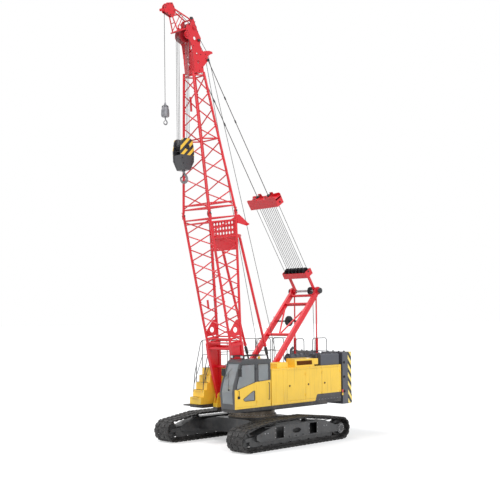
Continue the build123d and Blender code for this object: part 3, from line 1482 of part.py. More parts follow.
# Boom
lower_boom = fuse(*base_section())
for addition in (rear_plate(), rope_arm(), *both_sides(leg_gusset())):
    lower_boom = lower_boom + addition
save("boom_base_section", boom_frame * lower_boom)
save("boom_tip_section", boom_frame * fuse(*tip_section()))
save("boom_pins", [boom_frame * pin for pin in joint_pins() + stay_head_pins() + backstop_pins()])
save("boom_head", boom_frame * boom_head())
save("head_sheaves", [boom_frame * wheels for wheels in (*head_sheaves(), aux_head_sheave())])
save("auxiliary_head", boom_frame * aux_head())
save("backstop_barrels", [stop_frame * barrel for barrel in backstop_barrels()])
save("backstop_rods", [stop_frame * strut for strut in backstop_rods()])

# Stays
save("bail", stay_frame * bail())
save("bail_sheaves", stay_frame * rope_sheaves(bail_reach, bail_half))
save("spreader", stay_frame * spreader())
save("spreader_sheaves", stay_frame * rope_sheaves(spreader_reach, spreader_half))
save("pendants", [stay_frame * solid for solid in pendants() + spreader_pins()])

# Hooks
save("main_falls", main_falls())
save("main_block", main_block())
save("block_sheaves", block_sheaves())
save("main_hook", main_hook())
save("auxiliary_fall", aux_fall())
save("auxiliary_ball", aux_ball())
save("auxiliary_hook", aux_hook())
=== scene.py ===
import math

import bmesh
import bpy
from mathutils import Matrix, Vector


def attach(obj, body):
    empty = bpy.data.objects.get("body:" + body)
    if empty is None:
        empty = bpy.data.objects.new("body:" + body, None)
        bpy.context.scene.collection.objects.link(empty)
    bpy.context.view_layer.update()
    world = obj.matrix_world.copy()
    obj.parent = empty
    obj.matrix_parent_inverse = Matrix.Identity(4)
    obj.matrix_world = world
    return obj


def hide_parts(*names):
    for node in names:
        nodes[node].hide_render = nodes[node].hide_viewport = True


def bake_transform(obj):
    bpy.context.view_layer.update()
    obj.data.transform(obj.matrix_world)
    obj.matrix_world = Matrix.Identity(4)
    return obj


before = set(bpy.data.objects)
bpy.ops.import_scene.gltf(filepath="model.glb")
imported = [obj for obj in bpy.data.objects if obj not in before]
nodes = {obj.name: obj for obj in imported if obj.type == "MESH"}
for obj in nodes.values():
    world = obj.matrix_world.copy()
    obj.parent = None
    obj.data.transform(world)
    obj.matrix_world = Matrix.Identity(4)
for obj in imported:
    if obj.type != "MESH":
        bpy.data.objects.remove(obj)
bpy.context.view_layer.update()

# Crawler crane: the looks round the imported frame.  Metres, +Z up, boom towards -Y, cab on the +X side.

# ---------------------------------------------------------------- sizes repeated from the part's source
TRACK_X = 2.1                   # centre line of the left track
SHOE_WIDTH = 0.83
SHOE_COUNT = 58
AXLE_Y, AXLE_Z = 2.54, 0.44
END_WRAP = 0.385                # radius of the shoes' inner face round idler and sprocket
CARRIERS = ((0.75, 0.86), (-1.15, 0.86))
CARRIER_WRAP = 0.17
WALL_X = 1.525                  # outside of the housings
DOOR_FRONTS = {"left": (0.43, 1.515, 2.5), "right": (0.43, 1.935)}
ROOF_Z = 2.88
LEDGE_Z = 1.485                 # top of the foot plate
CAB_IN, CAB_OUT = 0.8, 1.53
DOOR_WINDOW = ((-2.29, 2.185), (-2.27, 2.39), (-2.0, 3.11), (-1.33, 3.11), (-1.33, 2.435))
REAR_WINDOW = ((-1.17, 2.455), (-1.17, 3.11), (-0.59, 3.11), (-0.59, 2.485))
LOW_WINDOW = ((-1.96, 1.83), (-1.87, 1.755), (-1.35, 1.755), (-1.35, 2.125), (-1.46, 2.105))
FOOT = (-1.2, 1.8)              # y, z of the boom foot pin
LEAN = math.radians(7.8)
JOINT_Z, HEAD_Z = 7.14, 12.4    # along the boom
LEGS_Z = 2.13
LEGS_HALF, BASE_HALF, TIP_HALF = (0.655, 0.277), (0.74, 0.68), (0.27, 0.27)
BASE_FRAMES, TIP_FRAMES = (2.16, 6.935, 9), (7.345, 12.325, 8)     # first and last frame, panels
GANTRY_FOOT = (-0.45, 1.85)
GANTRY_TOP = Vector((0, 3.2, 5.95))
STAY_HEAD = Vector((0, -2.43554, 14.65122))
BAIL_REACH, SPREADER_REACH = 0.953, 4.21
TACKLE_X = tuple(-0.5 + 0.2 * index for index in range(6))
TACKLE_WRAP = 0.144             # rope radius of the sheaves in bail and spreader
MAIN_AXIS = (-3.43918, 15.42012)
MAIN_WRAP = 0.23
BLOCK_Z = 11.23
FALLS_X = (-0.08, 0.0, 0.08)
AUX_AXIS = (-4.09, 16.29)
AUX_WRAP = 0.2
AUX_Y = AUX_AXIS[0] - AUX_WRAP
AUX_TOP = 12.79
ROPE = 0.011                    # radius of the wire ropes
DRUMS = (("front_hoist_drum", 0.64, 2.0, 0.215, 0.4), ("rear_hoist_drum", 1.5, 2.08, 0.215, 0.4),
         ("luffing_drum", 3.18, 2.0, 0.2, 0.33))     # name, y, z, radius of the barrel, half length
WOUND = 0.05                    # rope layers on a winch drum
GUIDE = (0.03, 14.09, 0.19)     # guide sheaves in the boom head: y and z along the boom, rope radius
AUX_FORK = (-0.8967, 14.7482)   # sheave of the auxiliary head: y and z along the boom
REAR_ROLLER = (0.768, 13.206, 0.045)    # roller behind the boom head: y and z along the boom, radius


def on_boom(x, y, z):
    """World place of a point given along the boom: y behind its centre line, z up from the foot pin."""
    return Vector((x, FOOT[0] + y * math.cos(LEAN) - z * math.sin(LEAN),
                   FOOT[1] + y * math.sin(LEAN) + z * math.cos(LEAN)))


STAY_ALONG = (STAY_HEAD - GANTRY_TOP).normalized()
STAY_OUT = Vector((0, STAY_ALONG.z, -STAY_ALONG.y))


def on_stay(x, y, z):
    """World place of a point given along the stays: z from the gantry top towards the boom head."""
    return GANTRY_TOP + Vector((x, 0, 0)) + STAY_OUT * y + STAY_ALONG * z


def section_half(z):
    """Half width and half depth of the boom's lattice at a height along it."""
    if z <= JOINT_Z:
        share = (z - LEGS_Z) / (JOINT_Z - LEGS_Z)
        low, high = LEGS_HALF, BASE_HALF
    else:
        share = (z - JOINT_Z) / (HEAD_Z - JOINT_Z)
        low, high = BASE_HALF, TIP_HALF
    return tuple(a + (b - a) * share for a, b in zip(low, high))


# ---------------------------------------------------------------- mesh building
def placed(name, data):
    """New object in the scene."""
    made = bpy.data.objects.new(name, data)
    bpy.context.scene.collection.objects.link(made)
    return made


UP = (0, 0, 1)
MIDDLE = 0.0005                 # inner radius of turned shapes, too small to see


def turned(place, normal):
    """Matrix that stands an upright shape on a surface: its z axis along the normal."""
    return Matrix.Translation(place) @ Vector(normal).to_track_quat("Z", "Y").to_matrix().to_4x4()


def rounded(points, radius, steps=5):
    """The path with each inner corner replaced by a smooth bend."""
    points = [Vector(p) for p in points]
    path = [points[0]]
    for before, corner, after in zip(points, points[1:], points[2:]):
        back, on = before - corner, after - corner
        cut = min(radius, back.length * 0.49, on.length * 0.49)
        start, end = corner + back.normalized() * cut, corner + on.normalized() * cut
        for step in range(steps + 1):
            t = step / steps
            path.append(start * (1 - t) ** 2 + corner * 2 * t * (1 - t) + end * t * t)
    path.append(points[-1])
    return path


def divided(path, spacing):
    """The path with extra points, no further apart than the spacing."""
    dense = [Vector(path[0])]
    for start, end in zip(path, path[1:]):
        start, end = Vector(start), Vector(end)
        count = max(1, math.ceil((end - start).length / spacing))
        dense += [start.lerp(end, (i + 1) / count) for i in range(count)]
    return dense


def circle(radius, sides, u=0.0, v=0.0):
    """Closed round outline about the point (u, v)."""
    turns = [2 * math.pi * i / sides for i in range(sides)]
    return [(u + radius * math.cos(turn), v + radius * math.sin(turn)) for turn in turns]


def bar(half_u, half_v):
    """Closed rectangular outline about the origin."""
    return [(-half_u, -half_v), (half_u, -half_v), (half_u, half_v), (-half_u, half_v)]


def mirrored(side, near, far):
    """Low and high end of a stretch across the crane, on the side with this sign."""
    return sorted((side * near, side * far))


def tube_faces(rows, around, closed):
    """Faces between neighbouring rows of points, with both ends capped unless the tube is closed."""
    faces = []
    for row in range(rows if closed else rows - 1):
        here, there = row * around, (row + 1) % rows * around
        faces += [(here + k, here + (k + 1) % around, there + (k + 1) % around, there + k)
                  for k in range(around)]
    return faces if closed else [*faces, range(around), range((rows - 1) * around, rows * around)]


class Build:
    """Mesh of one piece, gathered from closed shapes.  place moves every point as it is added."""

    def __init__(self, place=None):
        self.mesh = bmesh.new()
        self.place = place or (lambda *point: Vector(point))

    def add(self, points, faces):
        made = [self.mesh.verts.new(self.place(*p)) for p in points]
        for face in faces:
            self.mesh.faces.new([made[i] for i in face])

    def box(self, x, y, z):
        """Box between the (low, high) pairs."""
        points = [(a, b, c) for c in z for b in y for a in x]
        self.add(points, ((0, 2, 3, 1), (4, 5, 7, 6), (0, 1, 5, 4), (2, 6, 7, 3), (0, 4, 6, 2), (1, 3, 7, 5)))

    def prism(self, outline, low, high, axis=0):
        """Outline in the two other axes, extruded along the axis from low to high."""
        points = [(*pair[:axis], level, *pair[axis:]) for level in (low, high) for pair in outline]
        self.add(points, tube_faces(2, len(outline), False))

    def frame(self, outer, inner, low, high):
        """Flat ring between two outlines with as many points, across the x axis."""
        points = [point for (a, b), (c, d) in zip(outer, inner)
                  for point in ((low, a, b), (low, c, d), (high, c, d), (high, a, b))]
        self.add(points, tube_faces(len(outer), 4, True))

    def sweep(self, path, section, twist=0.0, scale=None, closed=False):
        """Section swept along a path, turning by twist radians a metre, sized at each point by scale."""
        path = [Vector(p) for p in path]
        count, tangents = len(path), []
        for i in range(count):
            before = path[i - 1] if (i or closed) else path[i]
            after = path[(i + 1) % count] if (i < count - 1 or closed) else path[i]
            tangents.append((after - before).normalized())
        side = tangents[0].orthogonal().normalized()
        points, turn = [], 0.0
        for i, (place, along) in enumerate(zip(path, tangents)):
            side = (side - along * side.dot(along)).normalized()
            other = along.cross(side)
            if i:
                turn += twist * (place - path[i - 1]).length
            size = scale[i] if scale else 1.0
            for u, v in section:
                a = u * math.cos(turn) - v * math.sin(turn)
                b = u * math.sin(turn) + v * math.cos(turn)
                points.append(place + side * a * size + other * b * size)
        self.add(points, tube_faces(count, len(section), closed))

    def rod(self, start, end, radius, sides=12):
        """Round bar between two points."""
        self.sweep([start, end], circle(radius, sides))

    def pipe(self, points, radius, bend=0.08, sides=8, steps=5):
        """Bent round tube through the points."""
        self.sweep(rounded(points, bend, steps), circle(radius, sides))

    def revolve(self, profile, matrix, steps=24):
        """Closed (radius, height) profile turned about the matrix's z axis."""
        points = []
        for step in range(steps):
            angle = 2 * math.pi * step / steps
            for radius, height in profile:
                points.append(matrix @ Vector((radius * math.cos(angle), radius * math.sin(angle), height)))
        self.add(points, tube_faces(steps, len(profile), True))

    def disc(self, place, normal, radius, height, steps=20):
        """Round plate on a surface, with a small chamfer."""
        edge = min(radius, height) * 0.18
        self.revolve(((MIDDLE, 0), (radius, 0), (radius, height - edge), (radius - edge, height),
                      (MIDDLE, height)), turned(place, normal), steps)

    def bolt(self, place, normal, size):
        """Hexagon head on a washer; size is across the corners."""
        self.disc(place, normal, size * 0.62, size * 0.1, 10)
        self.revolve(((MIDDLE, size * 0.1), (size * 0.5, size * 0.1), (size * 0.5, size * 0.42),
                      (size * 0.42, size * 0.5), (MIDDLE, size * 0.5)), turned(place, normal), 6)

    def copies(self, matrices, shape):
        """The shape that a Build holds, repeated at each matrix."""
        points = [v.co.copy() for v in shape.mesh.verts]
        index = {v: i for i, v in enumerate(shape.mesh.verts)}
        faces = [tuple(index[v] for v in face.verts) for face in shape.mesh.faces]
        for matrix in matrices:
            self.add([matrix @ p for p in points], faces)

    def piece(self, name, finish, body, slot, bevel=0.0, smooth=35):
        """Turn what was gathered into an object that rides on a body."""
        bmesh.ops.recalc_face_normals(self.mesh, faces=self.mesh.faces)
        data = bpy.data.meshes.new(name)
        self.mesh.to_mesh(data)
        self.mesh.free()
        data.shade_smooth()
        data.set_sharp_from_angle(angle=math.radians(smooth))
        data.materials.append(finish)
        made = placed(name, data)
        if bevel:
            rim = made.modifiers.new("rim", "BEVEL")
            rim.width, rim.segments, rim.limit_method = bevel, 2, "ANGLE"
            rim.angle_limit = math.radians(40)
        if body:
            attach(made, body)
        return made


# ---------------------------------------------------------------- materials
def rgb(red, green, blue):
    """Linear colour from 0-255 display values."""
    def linear(value):
        value /= 255
        return value / 12.92 if value <= 0.04045 else ((value + 0.055) / 1.055) ** 2.4
    return (linear(red), linear(green), linear(blue), 1.0)


def shade(colour, factor):
    """The colour made darker or lighter."""
    return (*(min(1.0, c * factor) for c in colour[:3]), 1.0)


class Graph:
    """Node tree under construction, with short calls for what materials and world share."""

    def __init__(self, owner):
        owner.use_nodes = True
        self.tree = owner.node_tree
        self.tree.nodes.clear()

    def node(self, kind, inputs=(), **settings):
        """New node; inputs are values or sockets, in order, and None leaves one alone."""
        made = self.tree.nodes.new(kind)
        for key, value in settings.items():
            setattr(made, key, value)
        for socket, value in zip(made.inputs, inputs):
            self.feed(socket, value)
        return made

    def feed(self, socket, value):
        if isinstance(value, bpy.types.NodeSocket):
            self.tree.links.new(value, socket)
        elif value is not None:
            socket.default_value = value

    def math(self, operation, first, second=None):
        return self.node("ShaderNodeMath", (first, second), operation=operation).outputs[0]

    def times(self, first, *others):
        """Product of values or sockets."""
        for other in others:
            first = self.math("MULTIPLY", first, other)
        return first

    def seen(self):
        """1 for rays from the camera, from mirrors and through glass, and 0 for other light."""
        rays = self.node("ShaderNodeLightPath").outputs
        others = self.math("MAXIMUM", rays["Is Glossy Ray"], rays["Is Transmission Ray"])
        return self.math("MAXIMUM", rays["Is Camera Ray"], others)


class Finish(Graph):
    """A material under construction, with its shader, its coordinates and calls for what looks share."""

    def __init__(self, name):
        self.material = bpy.data.materials.new(name)
        super().__init__(self.material)
        self.shader = self.node("ShaderNodeBsdfPrincipled")
        self.output = self.node("ShaderNodeOutputMaterial", (self.shader.outputs[0],))
        self.place = self.node("ShaderNodeTexCoord").outputs["Object"]
        self.x, self.y, self.z = self.node("ShaderNodeSeparateXYZ", (self.place,)).outputs

    def set(self, **values):
        """Values or sockets for the shader, by input name with _ for a space."""
        for key, value in values.items():
            self.feed(self.shader.inputs[key.replace("_", " ")], value)

    def noise(self, scale, detail=3.0, stretch=None, rough=0.55):
        place = self.place
        if stretch:
            place = self.node("ShaderNodeVectorMath", (place, stretch), operation="MULTIPLY").outputs[0]
        return self.node("ShaderNodeTexNoise", (place, None, scale, detail, rough)).outputs[0]

    def ramp(self, value, low, high, to_low=0.0, to_high=1.0):
        """Smooth step of a value between two limits."""
        return self.node("ShaderNodeMapRange", (value, low, high, to_low, to_high),
                         interpolation_type="SMOOTHSTEP").outputs[0]

    def mix(self, share, first, second):
        made = self.node("ShaderNodeMix", data_type="RGBA")
        self.feed(made.inputs[0], share)
        self.feed(made.inputs[6], first)
        self.feed(made.inputs[7], second)
        return made.outputs[2]

    def edges(self, radius):
        """Mask of the outer and inner edges, and the softened normal."""
        soft = self.node("ShaderNodeBevel", (radius,), samples=4).outputs[0]
        plain = self.node("ShaderNodeNewGeometry").outputs["Normal"]
        same = self.node("ShaderNodeVectorMath", (soft, plain), operation="DOT_PRODUCT").outputs["Value"]
        return self.math("SUBTRACT", 1.0, same), soft

    def bump(self, height, strength, distance, normal=None):
        made = self.node("ShaderNodeBump")
        settings = {"Strength": strength, "Distance": distance, "Height": height, "Normal": normal}
        for key, value in settings.items():
            self.feed(made.inputs[key], value)
        return made.outputs[0]

    def stripes(self, coordinate, period, share, first, second):
        """Two colours in turn along a coordinate."""
        phase = self.math("FRACT", self.math("DIVIDE", coordinate, period))
        return self.mix(self.math("LESS_THAN", phase, share), first, second)


def paint(name, colour, gloss, wear, dust, pattern=None, coat=0.3, radius=0.006,
          worn=(0.16, 0.13, 0.11, 1), earth=(0.34, 0.29, 0.23, 1)):
    """Sprayed paint on plate: slight tone changes, streaks, chipped edges, and dust lower down."""
    f = Finish(name)
    patches = f.noise(0.8, 5.0)
    varied = f.node("ShaderNodeHueSaturation")
    f.feed(varied.inputs["Color"], pattern(f, colour) if pattern else colour)
    f.feed(varied.inputs["Value"], f.ramp(patches, 0.25, 0.75, 0.93, 1.06))
    streaks = f.noise(1.6, 6.0, (7.0, 7.0, 0.5))
    grime = f.times(f.ramp(streaks, 0.5, 0.82), 0.3)
    tone = f.mix(grime, varied.outputs[0], (0.11, 0.09, 0.07, 1))
    low = f.ramp(f.z, 2.4, 0.3)
    cloud = f.ramp(f.noise(2.6, 6.0, rough=0.65), 0.42, 0.75)
    tone = f.mix(f.times(low, cloud, dust), tone, earth)
    edge, soft = f.edges(radius)
    chips = f.ramp(f.noise(55.0, 4.0), 0.5, 0.62)
    chipped = f.times(f.ramp(edge, 0.05, 0.25), chips, wear)
    rough = f.ramp(f.noise(9.0, 4.0), 0.3, 0.75, gloss, gloss + 0.16)
    f.set(Base_Color=f.mix(chipped, tone, worn), Roughness=f.math("ADD", rough, f.times(chipped, 0.25)),
          Coat_Weight=coat, Coat_Roughness=0.14)
    peel = f.bump(f.noise(260.0, 2.0), 0.12, 0.0006, soft)
    f.set(Normal=f.bump(f.noise(5.0, 2.0), 0.10, 0.004, peel))
    return f.material


def metal(name, colour, rough, stained, metallic=0.9):
    """Bare or cast metal: uneven gloss, stains in patches, brighter worn edges, and a fine grain."""
    f = Finish(name)
    tone = f.mix(f.ramp(f.noise(6.0, 5.0), 0.3, 0.75), shade(colour, 0.75), shade(colour, 1.2))
    stains = f.times(f.ramp(f.noise(2.3, 7.0, rough=0.7), 0.48, 0.72), stained)
    tone = f.mix(stains, tone, (0.12, 0.08, 0.05, 1))
    edge, soft = f.edges(0.003)
    tone = f.mix(f.times(f.ramp(edge, 0.04, 0.3), 0.7), tone, shade(colour, 2.0))
    f.set(Base_Color=tone, Roughness=f.ramp(f.noise(24.0, 4.0), 0.25, 0.8, rough - 0.07, rough + 0.2),
          Metallic=metallic, Normal=f.bump(f.noise(120.0, 4.0), 0.25, 0.0012, soft))
    return f.material


def cast(name, colour):
    """Rough cast steel of the tracks: pitted, dusty in the recesses, polished along the edges."""
    f = Finish(name)
    tone = f.mix(f.ramp(f.noise(4.0, 6.0, rough=0.65), 0.32, 0.72), shade(colour, 0.7), shade(colour, 1.35))
    earth = f.times(f.ramp(f.noise(7.0, 7.0, rough=0.7), 0.46, 0.7), 0.5)
    tone = f.mix(earth, tone, (0.15, 0.145, 0.14, 1))
    edge, soft = f.edges(0.005)
    tone = f.mix(f.times(f.ramp(edge, 0.05, 0.35), 0.55), tone, (0.36, 0.35, 0.34, 1))
    pits = f.bump(f.noise(75.0, 5.0, rough=0.65), 0.5, 0.002, soft)
    f.set(Base_Color=tone, Roughness=f.ramp(f.noise(18.0, 5.0), 0.25, 0.8, 0.48, 0.8), Metallic=0.35,
          Normal=f.bump(f.noise(11.0, 3.0), 0.25, 0.005, pits))
    return f.material


def rope_finish(name, colour):
    """Greased wire rope: darker colour in the low valleys of the wire pattern, thin wires across the strands.
    """
    f = Finish(name)
    tone = f.mix(f.ramp(f.noise(14.0, 5.0), 0.35, 0.7), shade(colour, 0.6), shade(colour, 1.3))
    wires = f.noise(900.0, 2.0, (1.0, 1.0, 0.35))
    f.set(Base_Color=f.mix(f.ramp(wires, 0.35, 0.6), shade(colour, 0.45), tone), Metallic=0.75,
          Roughness=f.ramp(wires, 0.2, 0.8, 0.34, 0.6), Normal=f.bump(wires, 0.4, 0.0008))
    return f.material


def rubber(name, colour, rough=0.62, grain=420.0, bump=0.2):
    """Rubber, moulded plastic and cable skins: fine grain and paler rubbed edges."""
    f = Finish(name)
    tone = f.mix(f.ramp(f.noise(5.0, 5.0), 0.3, 0.75), shade(colour, 0.8), shade(colour, 1.25))
    edge, soft = f.edges(0.003)
    tone = f.mix(f.times(f.ramp(edge, 0.05, 0.3), 0.35), tone, shade(colour, 2.4))
    f.set(Base_Color=tone, Roughness=f.ramp(f.noise(30.0, 3.0), 0.3, 0.7, rough - 0.1, rough + 0.1),
          Normal=f.bump(f.noise(grain, 2.0), bump, 0.0008, soft))
    return f.material


def fabric(name, colour):
    """Woven seat cloth: crossed threads, soft colour change and sheen."""
    f = Finish(name)
    warp = f.math("SINE", f.times(f.x, 2200.0))
    weft = f.math("SINE", f.times(f.math("ADD", f.y, f.z), 2200.0))
    weave = f.times(warp, weft)
    tone = f.mix(f.ramp(f.noise(12.0, 4.0), 0.3, 0.7), shade(colour, 0.75), shade(colour, 1.3))
    tone = f.mix(f.ramp(weave, -0.6, 0.8, 0.0, 0.5), tone, shade(colour, 2.2))
    f.set(Base_Color=tone, Roughness=f.ramp(f.noise(90.0, 2.0), 0.3, 0.7, 0.8, 0.95),
          Normal=f.bump(weave, 0.35, 0.0006), Sheen_Weight=0.3)
    return f.material


def glass(name, colour):
    """Safety glass with faint dust and rain marks; a pale base colour here is partly tint and partly a
    painted reflection.
    """
    f = Finish(name)
    marks = f.ramp(f.noise(3.0, 6.0, (1.0, 1.0, 0.4)), 0.45, 0.8)
    f.set(Base_Color=f.mix(f.times(marks, 0.3), colour, shade(colour, 1.3)),
          Roughness=f.ramp(marks, 0.0, 1.0, 0.02, 0.09), Transmission_Weight=0.62, IOR=1.2,
          Specular_IOR_Level=0.8)
    return f.material


def lens(name, colour):
    """Moulded lamp or reflector lens with small ribs."""
    f = Finish(name)
    ribs = f.math("SINE", f.times(f.z, 900.0))
    f.set(Base_Color=f.mix(f.ramp(ribs, -1.0, 1.0, 0.0, 0.35), colour, shade(colour, 1.6)),
          Roughness=f.ramp(f.noise(20.0), 0.3, 0.7, 0.08, 0.18), Normal=f.bump(ribs, 0.3, 0.001),
          Coat_Weight=0.8)
    return f.material


RED = rgb(222, 14, 36)
YELLOW = rgb(255, 209, 66)
BLACK = rgb(26, 26, 28)
GREY = rgb(74, 77, 86)


def tail_stripes(f, colour):
    """Hazard stripes on the outer rear corners of the counterweight."""
    slope = f.math("ADD", f.z, f.times(f.y, 1.3))
    bands = f.stripes(slope, 0.36, 0.52, rgb(252, 226, 120), BLACK)
    aside = f.math("GREATER_THAN", f.math("ABSOLUTE", f.x), 1.25)
    behind = f.math("GREATER_THAN", f.y, 4.14)
    return f.mix(f.times(aside, behind), colour, bands)


def block_stripes(f, colour):
    """Diagonal stripes on the upper part of the hook block's sides, grey weights below."""
    slope = f.math("SUBTRACT", f.z, f.y)
    bands = f.stripes(slope, 0.3, 0.5, rgb(248, 200, 60), BLACK)
    upper = f.math("GREATER_THAN", f.z, 10.93)
    aside = f.math("GREATER_THAN", f.math("ABSOLUTE", f.x), 0.21)
    return f.mix(f.times(upper, aside), colour, bands)


def cab_split(f, colour):
    """Yellow below the belt line of the cab, dark grey above it and on the front."""
    front = f.math("ADD", f.times(f.y, 0.2155), 2.711)
    rear = f.math("ADD", f.times(f.y, 0.0526), 2.5063)
    belt = f.math("MINIMUM", front, rear)
    panel = f.times(f.math("LESS_THAN", f.z, belt), f.math("GREATER_THAN", f.y, -2.385))
    return f.mix(panel, colour, YELLOW)


def deck_split(f, colour):
    """Dark lower part of the deck frame."""
    return f.mix(f.math("LESS_THAN", f.z, 1.37), colour, rgb(40, 40, 44))


def skirt_split(f, colour):
    """Dark lower band on the rear half of the housings."""
    line = f.math("ADD", 1.42, f.times(f.ramp(f.y, 1.98, 2.2), 0.33))
    return f.mix(f.math("LESS_THAN", f.z, line), colour, rgb(52, 52, 58))


boom_red = paint("boom_red_paint", RED, gloss=0.3, wear=0.5, dust=0.2)
body_yellow = paint("body_yellow_paint", YELLOW, gloss=0.28, wear=0.45, dust=0.25)
housing_yellow = paint("housing_yellow_paint", YELLOW, gloss=0.28, wear=0.4, dust=0.2, pattern=skirt_split)
deck_paint = paint("deck_paint", YELLOW, gloss=0.32, wear=0.5, dust=0.3, pattern=deck_split)
# The head sheaves take a darker copy of the boom red: painted shade for the shade between the head plates.
shaded_sheave_red = paint("sheave_red_painted_shade", rgb(150, 16, 30), gloss=0.36, wear=0.7, dust=0.0)
cab_paint = paint("cab_two_tone_paint", rgb(62, 64, 68), gloss=0.3, wear=0.4, dust=0.25, pattern=cab_split)
tail_paint = paint("tail_grey_paint", GREY, gloss=0.42, wear=0.7, dust=0.4, pattern=tail_stripes, radius=0.01)
block_paint = paint("hook_block_paint", rgb(56, 56, 60), gloss=0.4, wear=0.8, dust=0.0, pattern=block_stripes)
dark_paint = paint("dark_satin_paint", rgb(40, 40, 44), gloss=0.42, wear=0.6, dust=0.45, coat=0.1)
roof_grey = paint("roof_grey_paint", rgb(78, 80, 88), gloss=0.4, wear=0.5, dust=0.2, coat=0.1)
# Light grey chipped edges on the undercarriage: partly worn paint, partly a painted highlight along the
# edges.
under_paint = paint("undercarriage_paint", rgb(51, 52, 54), gloss=0.36, wear=0.9, dust=0.4, radius=0.012,
                    worn=(0.34, 0.34, 0.35, 1), earth=(0.13, 0.128, 0.125, 1))
rail_paint = paint("rail_grey_paint", rgb(60, 62, 66), gloss=0.4, wear=0.6, dust=0.1, coat=0.1)
bright_steel = metal("machined_steel", rgb(176, 176, 178), rough=0.3, stained=0.25)
dark_steel = metal("sheave_steel", rgb(58, 58, 62), rough=0.42, stained=0.35)
hook_steel = metal("forged_hook_steel", rgb(136, 136, 140), rough=0.46, stained=0.35)
track_steel = cast("track_cast_steel", rgb(51, 50, 50))
ring_steel = metal("slew_ring_steel", rgb(132, 122, 110), rough=0.5, stained=0.5)
rope_steel = rope_finish("greased_wire_rope", rgb(96, 96, 98))
# Lighter copy of the wire rope colour for the hanging falls: painted light; the same rope on the drums,
# sheaves and hoist runs keeps the darker colour.
lit_fall_rope = rope_finish("bright_wire_rope", rgb(156, 158, 160))
tackle_steel = rope_finish("dark_wire_rope", rgb(52, 52, 54))
black_rubber = rubber("black_rubber", rgb(28, 28, 30))
moulded = rubber("moulded_plastic", rgb(44, 44, 48), rough=0.5, grain=700.0, bump=0.12)
seat_cloth = fabric("seat_cloth", rgb(48, 49, 54))
# Light grey panes: partly tint, partly a painted reflection of the pale surround.
cab_glass = glass("tinted_glass_painted_reflection", rgb(196, 202, 206))
red_lens = lens("red_lens", rgb(205, 24, 20))
amber_lens = lens("amber_lens", rgb(240, 190, 40))
clear_lens = lens("clear_lens", rgb(200, 205, 208))
grille_brown = paint("grille_brown_paint", rgb(150, 84, 26), gloss=0.45, wear=0.5, dust=0.2, coat=0.1)
mirror_face = metal("mirror_face", rgb(205, 210, 214), rough=0.08, stained=0.0, metallic=1.0)

SLOT_FINISH = {
    "undercarriage": under_paint, "track_steel": track_steel, "body_yellow": body_yellow,
    "boom_red": boom_red, "tail_grey": tail_paint, "dark_paint": dark_paint, "cab_grey": cab_paint,
    "bright_steel": bright_steel,
    "dark_steel": dark_steel, "rope_steel": rope_steel, "tinted_glass": cab_glass, "seat_fabric": seat_cloth,
    "console_plastic": moulded, "body_orange": body_yellow,
}
NODE_FINISH = {
    "housing_left": housing_yellow, "housing_right": housing_yellow, "main_block": block_paint,
    "deck_frame": deck_paint, "head_sheaves": shaded_sheave_red, "cooler_box": roof_grey, "silencer": roof_grey,
    "auxiliary_ball": hook_steel, "main_hook": hook_steel, "auxiliary_hook": hook_steel,
    "slew_ring_lower": ring_steel, "slew_ring_upper": ring_steel,
    **{name: housing_yellow for name in nodes if name.startswith("housing_door")},
}
for name, node in nodes.items():
    for entry in node.material_slots:
        entry.material = NODE_FINISH.get(name) or SLOT_FINISH[entry.material.name.split(".")[0]]

# ---------------------------------------------------------------- camera, light and floor
CAMERA_AT = Vector((25.212, -24.543, 4.928))
AZIMUTH, PITCH, ROLL = (math.radians(angle) for angle in (46.4, 1.218, -0.645))


def make_camera():
    """Camera from its place, its bearing and its tilts."""
    back = Vector((math.sin(AZIMUTH), -math.cos(AZIMUTH), 0))
    across = Vector((math.cos(AZIMUTH), math.sin(AZIMUTH), 0))
    up = Vector(UP)
    forward = up * math.sin(PITCH) - back * math.cos(PITCH)
    raised = up * math.cos(PITCH) + back * math.sin(PITCH)
    right = across * math.cos(ROLL) + raised * math.sin(ROLL)
    upward = raised * math.cos(ROLL) - across * math.sin(ROLL)
    data = bpy.data.cameras.new("camera")
    data.lens, data.sensor_width = 63.495, 36
    data.shift_x, data.shift_y = 0.0172, 0.0944
    data.clip_end = 500
    camera = placed("camera", data)
    turn = Matrix((right, upward, -forward)).transposed().to_4x4()
    camera.matrix_world = Matrix.Translation(CAMERA_AT) @ turn
    bpy.context.scene.camera = camera


def make_sun(name, towards, strength, spread):
    """Sun that shines in a direction, its disc spread over an angle in degrees."""
    data = bpy.data.lights.new(name, "SUN")
    data.energy, data.angle = strength, math.radians(spread)
    lamp = placed(name, data)
    lamp.rotation_mode = "QUATERNION"
    lamp.rotation_quaternion = Vector(towards).to_track_quat("-Z", "Y")


def make_world():
    """Soft surround for the light; the camera, mirrors and glass see it white."""
    world = bpy.data.worlds.new("surround")
    bpy.context.scene.world = world
    graph = Graph(world)
    light = graph.node("ShaderNodeBackground", ((0.96, 0.98, 1.0, 1), 0.62)).outputs[0]
    white = graph.node("ShaderNodeBackground", ((1, 1, 1, 1), 1.0)).outputs[0]
    choice = graph.node("ShaderNodeMixShader", (graph.seen(), light, white)).outputs[0]
    graph.node("ShaderNodeOutputWorld", (choice,))


def make_floor():
    """Large pale floor: white where it is lit, soft grey in the shadow."""
    build = Build()
    build.box((-400, 400), (-400, 400), (-0.1, -0.001))
    f = Finish("studio_floor")
    f.set(Base_Color=(0.62, 0.62, 0.62, 1), Roughness=1.0, Specular_IOR_Level=0.0)
    plain = f.shader.outputs[0]
    glow = f.node("ShaderNodeEmission", ((1, 1, 1, 1), 0.46)).outputs[0]
    lit = f.node("ShaderNodeAddShader", (plain, glow)).outputs[0]
    choice = f.node("ShaderNodeMixShader", (f.seen(), plain, lit)).outputs[0]
    f.feed(f.output.inputs[0], choice)
    build.piece("studio_floor", f.material, None, None)


make_camera()
make_world()
make_floor()
make_sun("key", (0.62, 0.5, -1.25), 1.5, 24)
make_sun("side", (-0.95, 0.35, -0.5), 1.35, 40)
bpy.context.scene.view_settings.view_transform = "Standard"


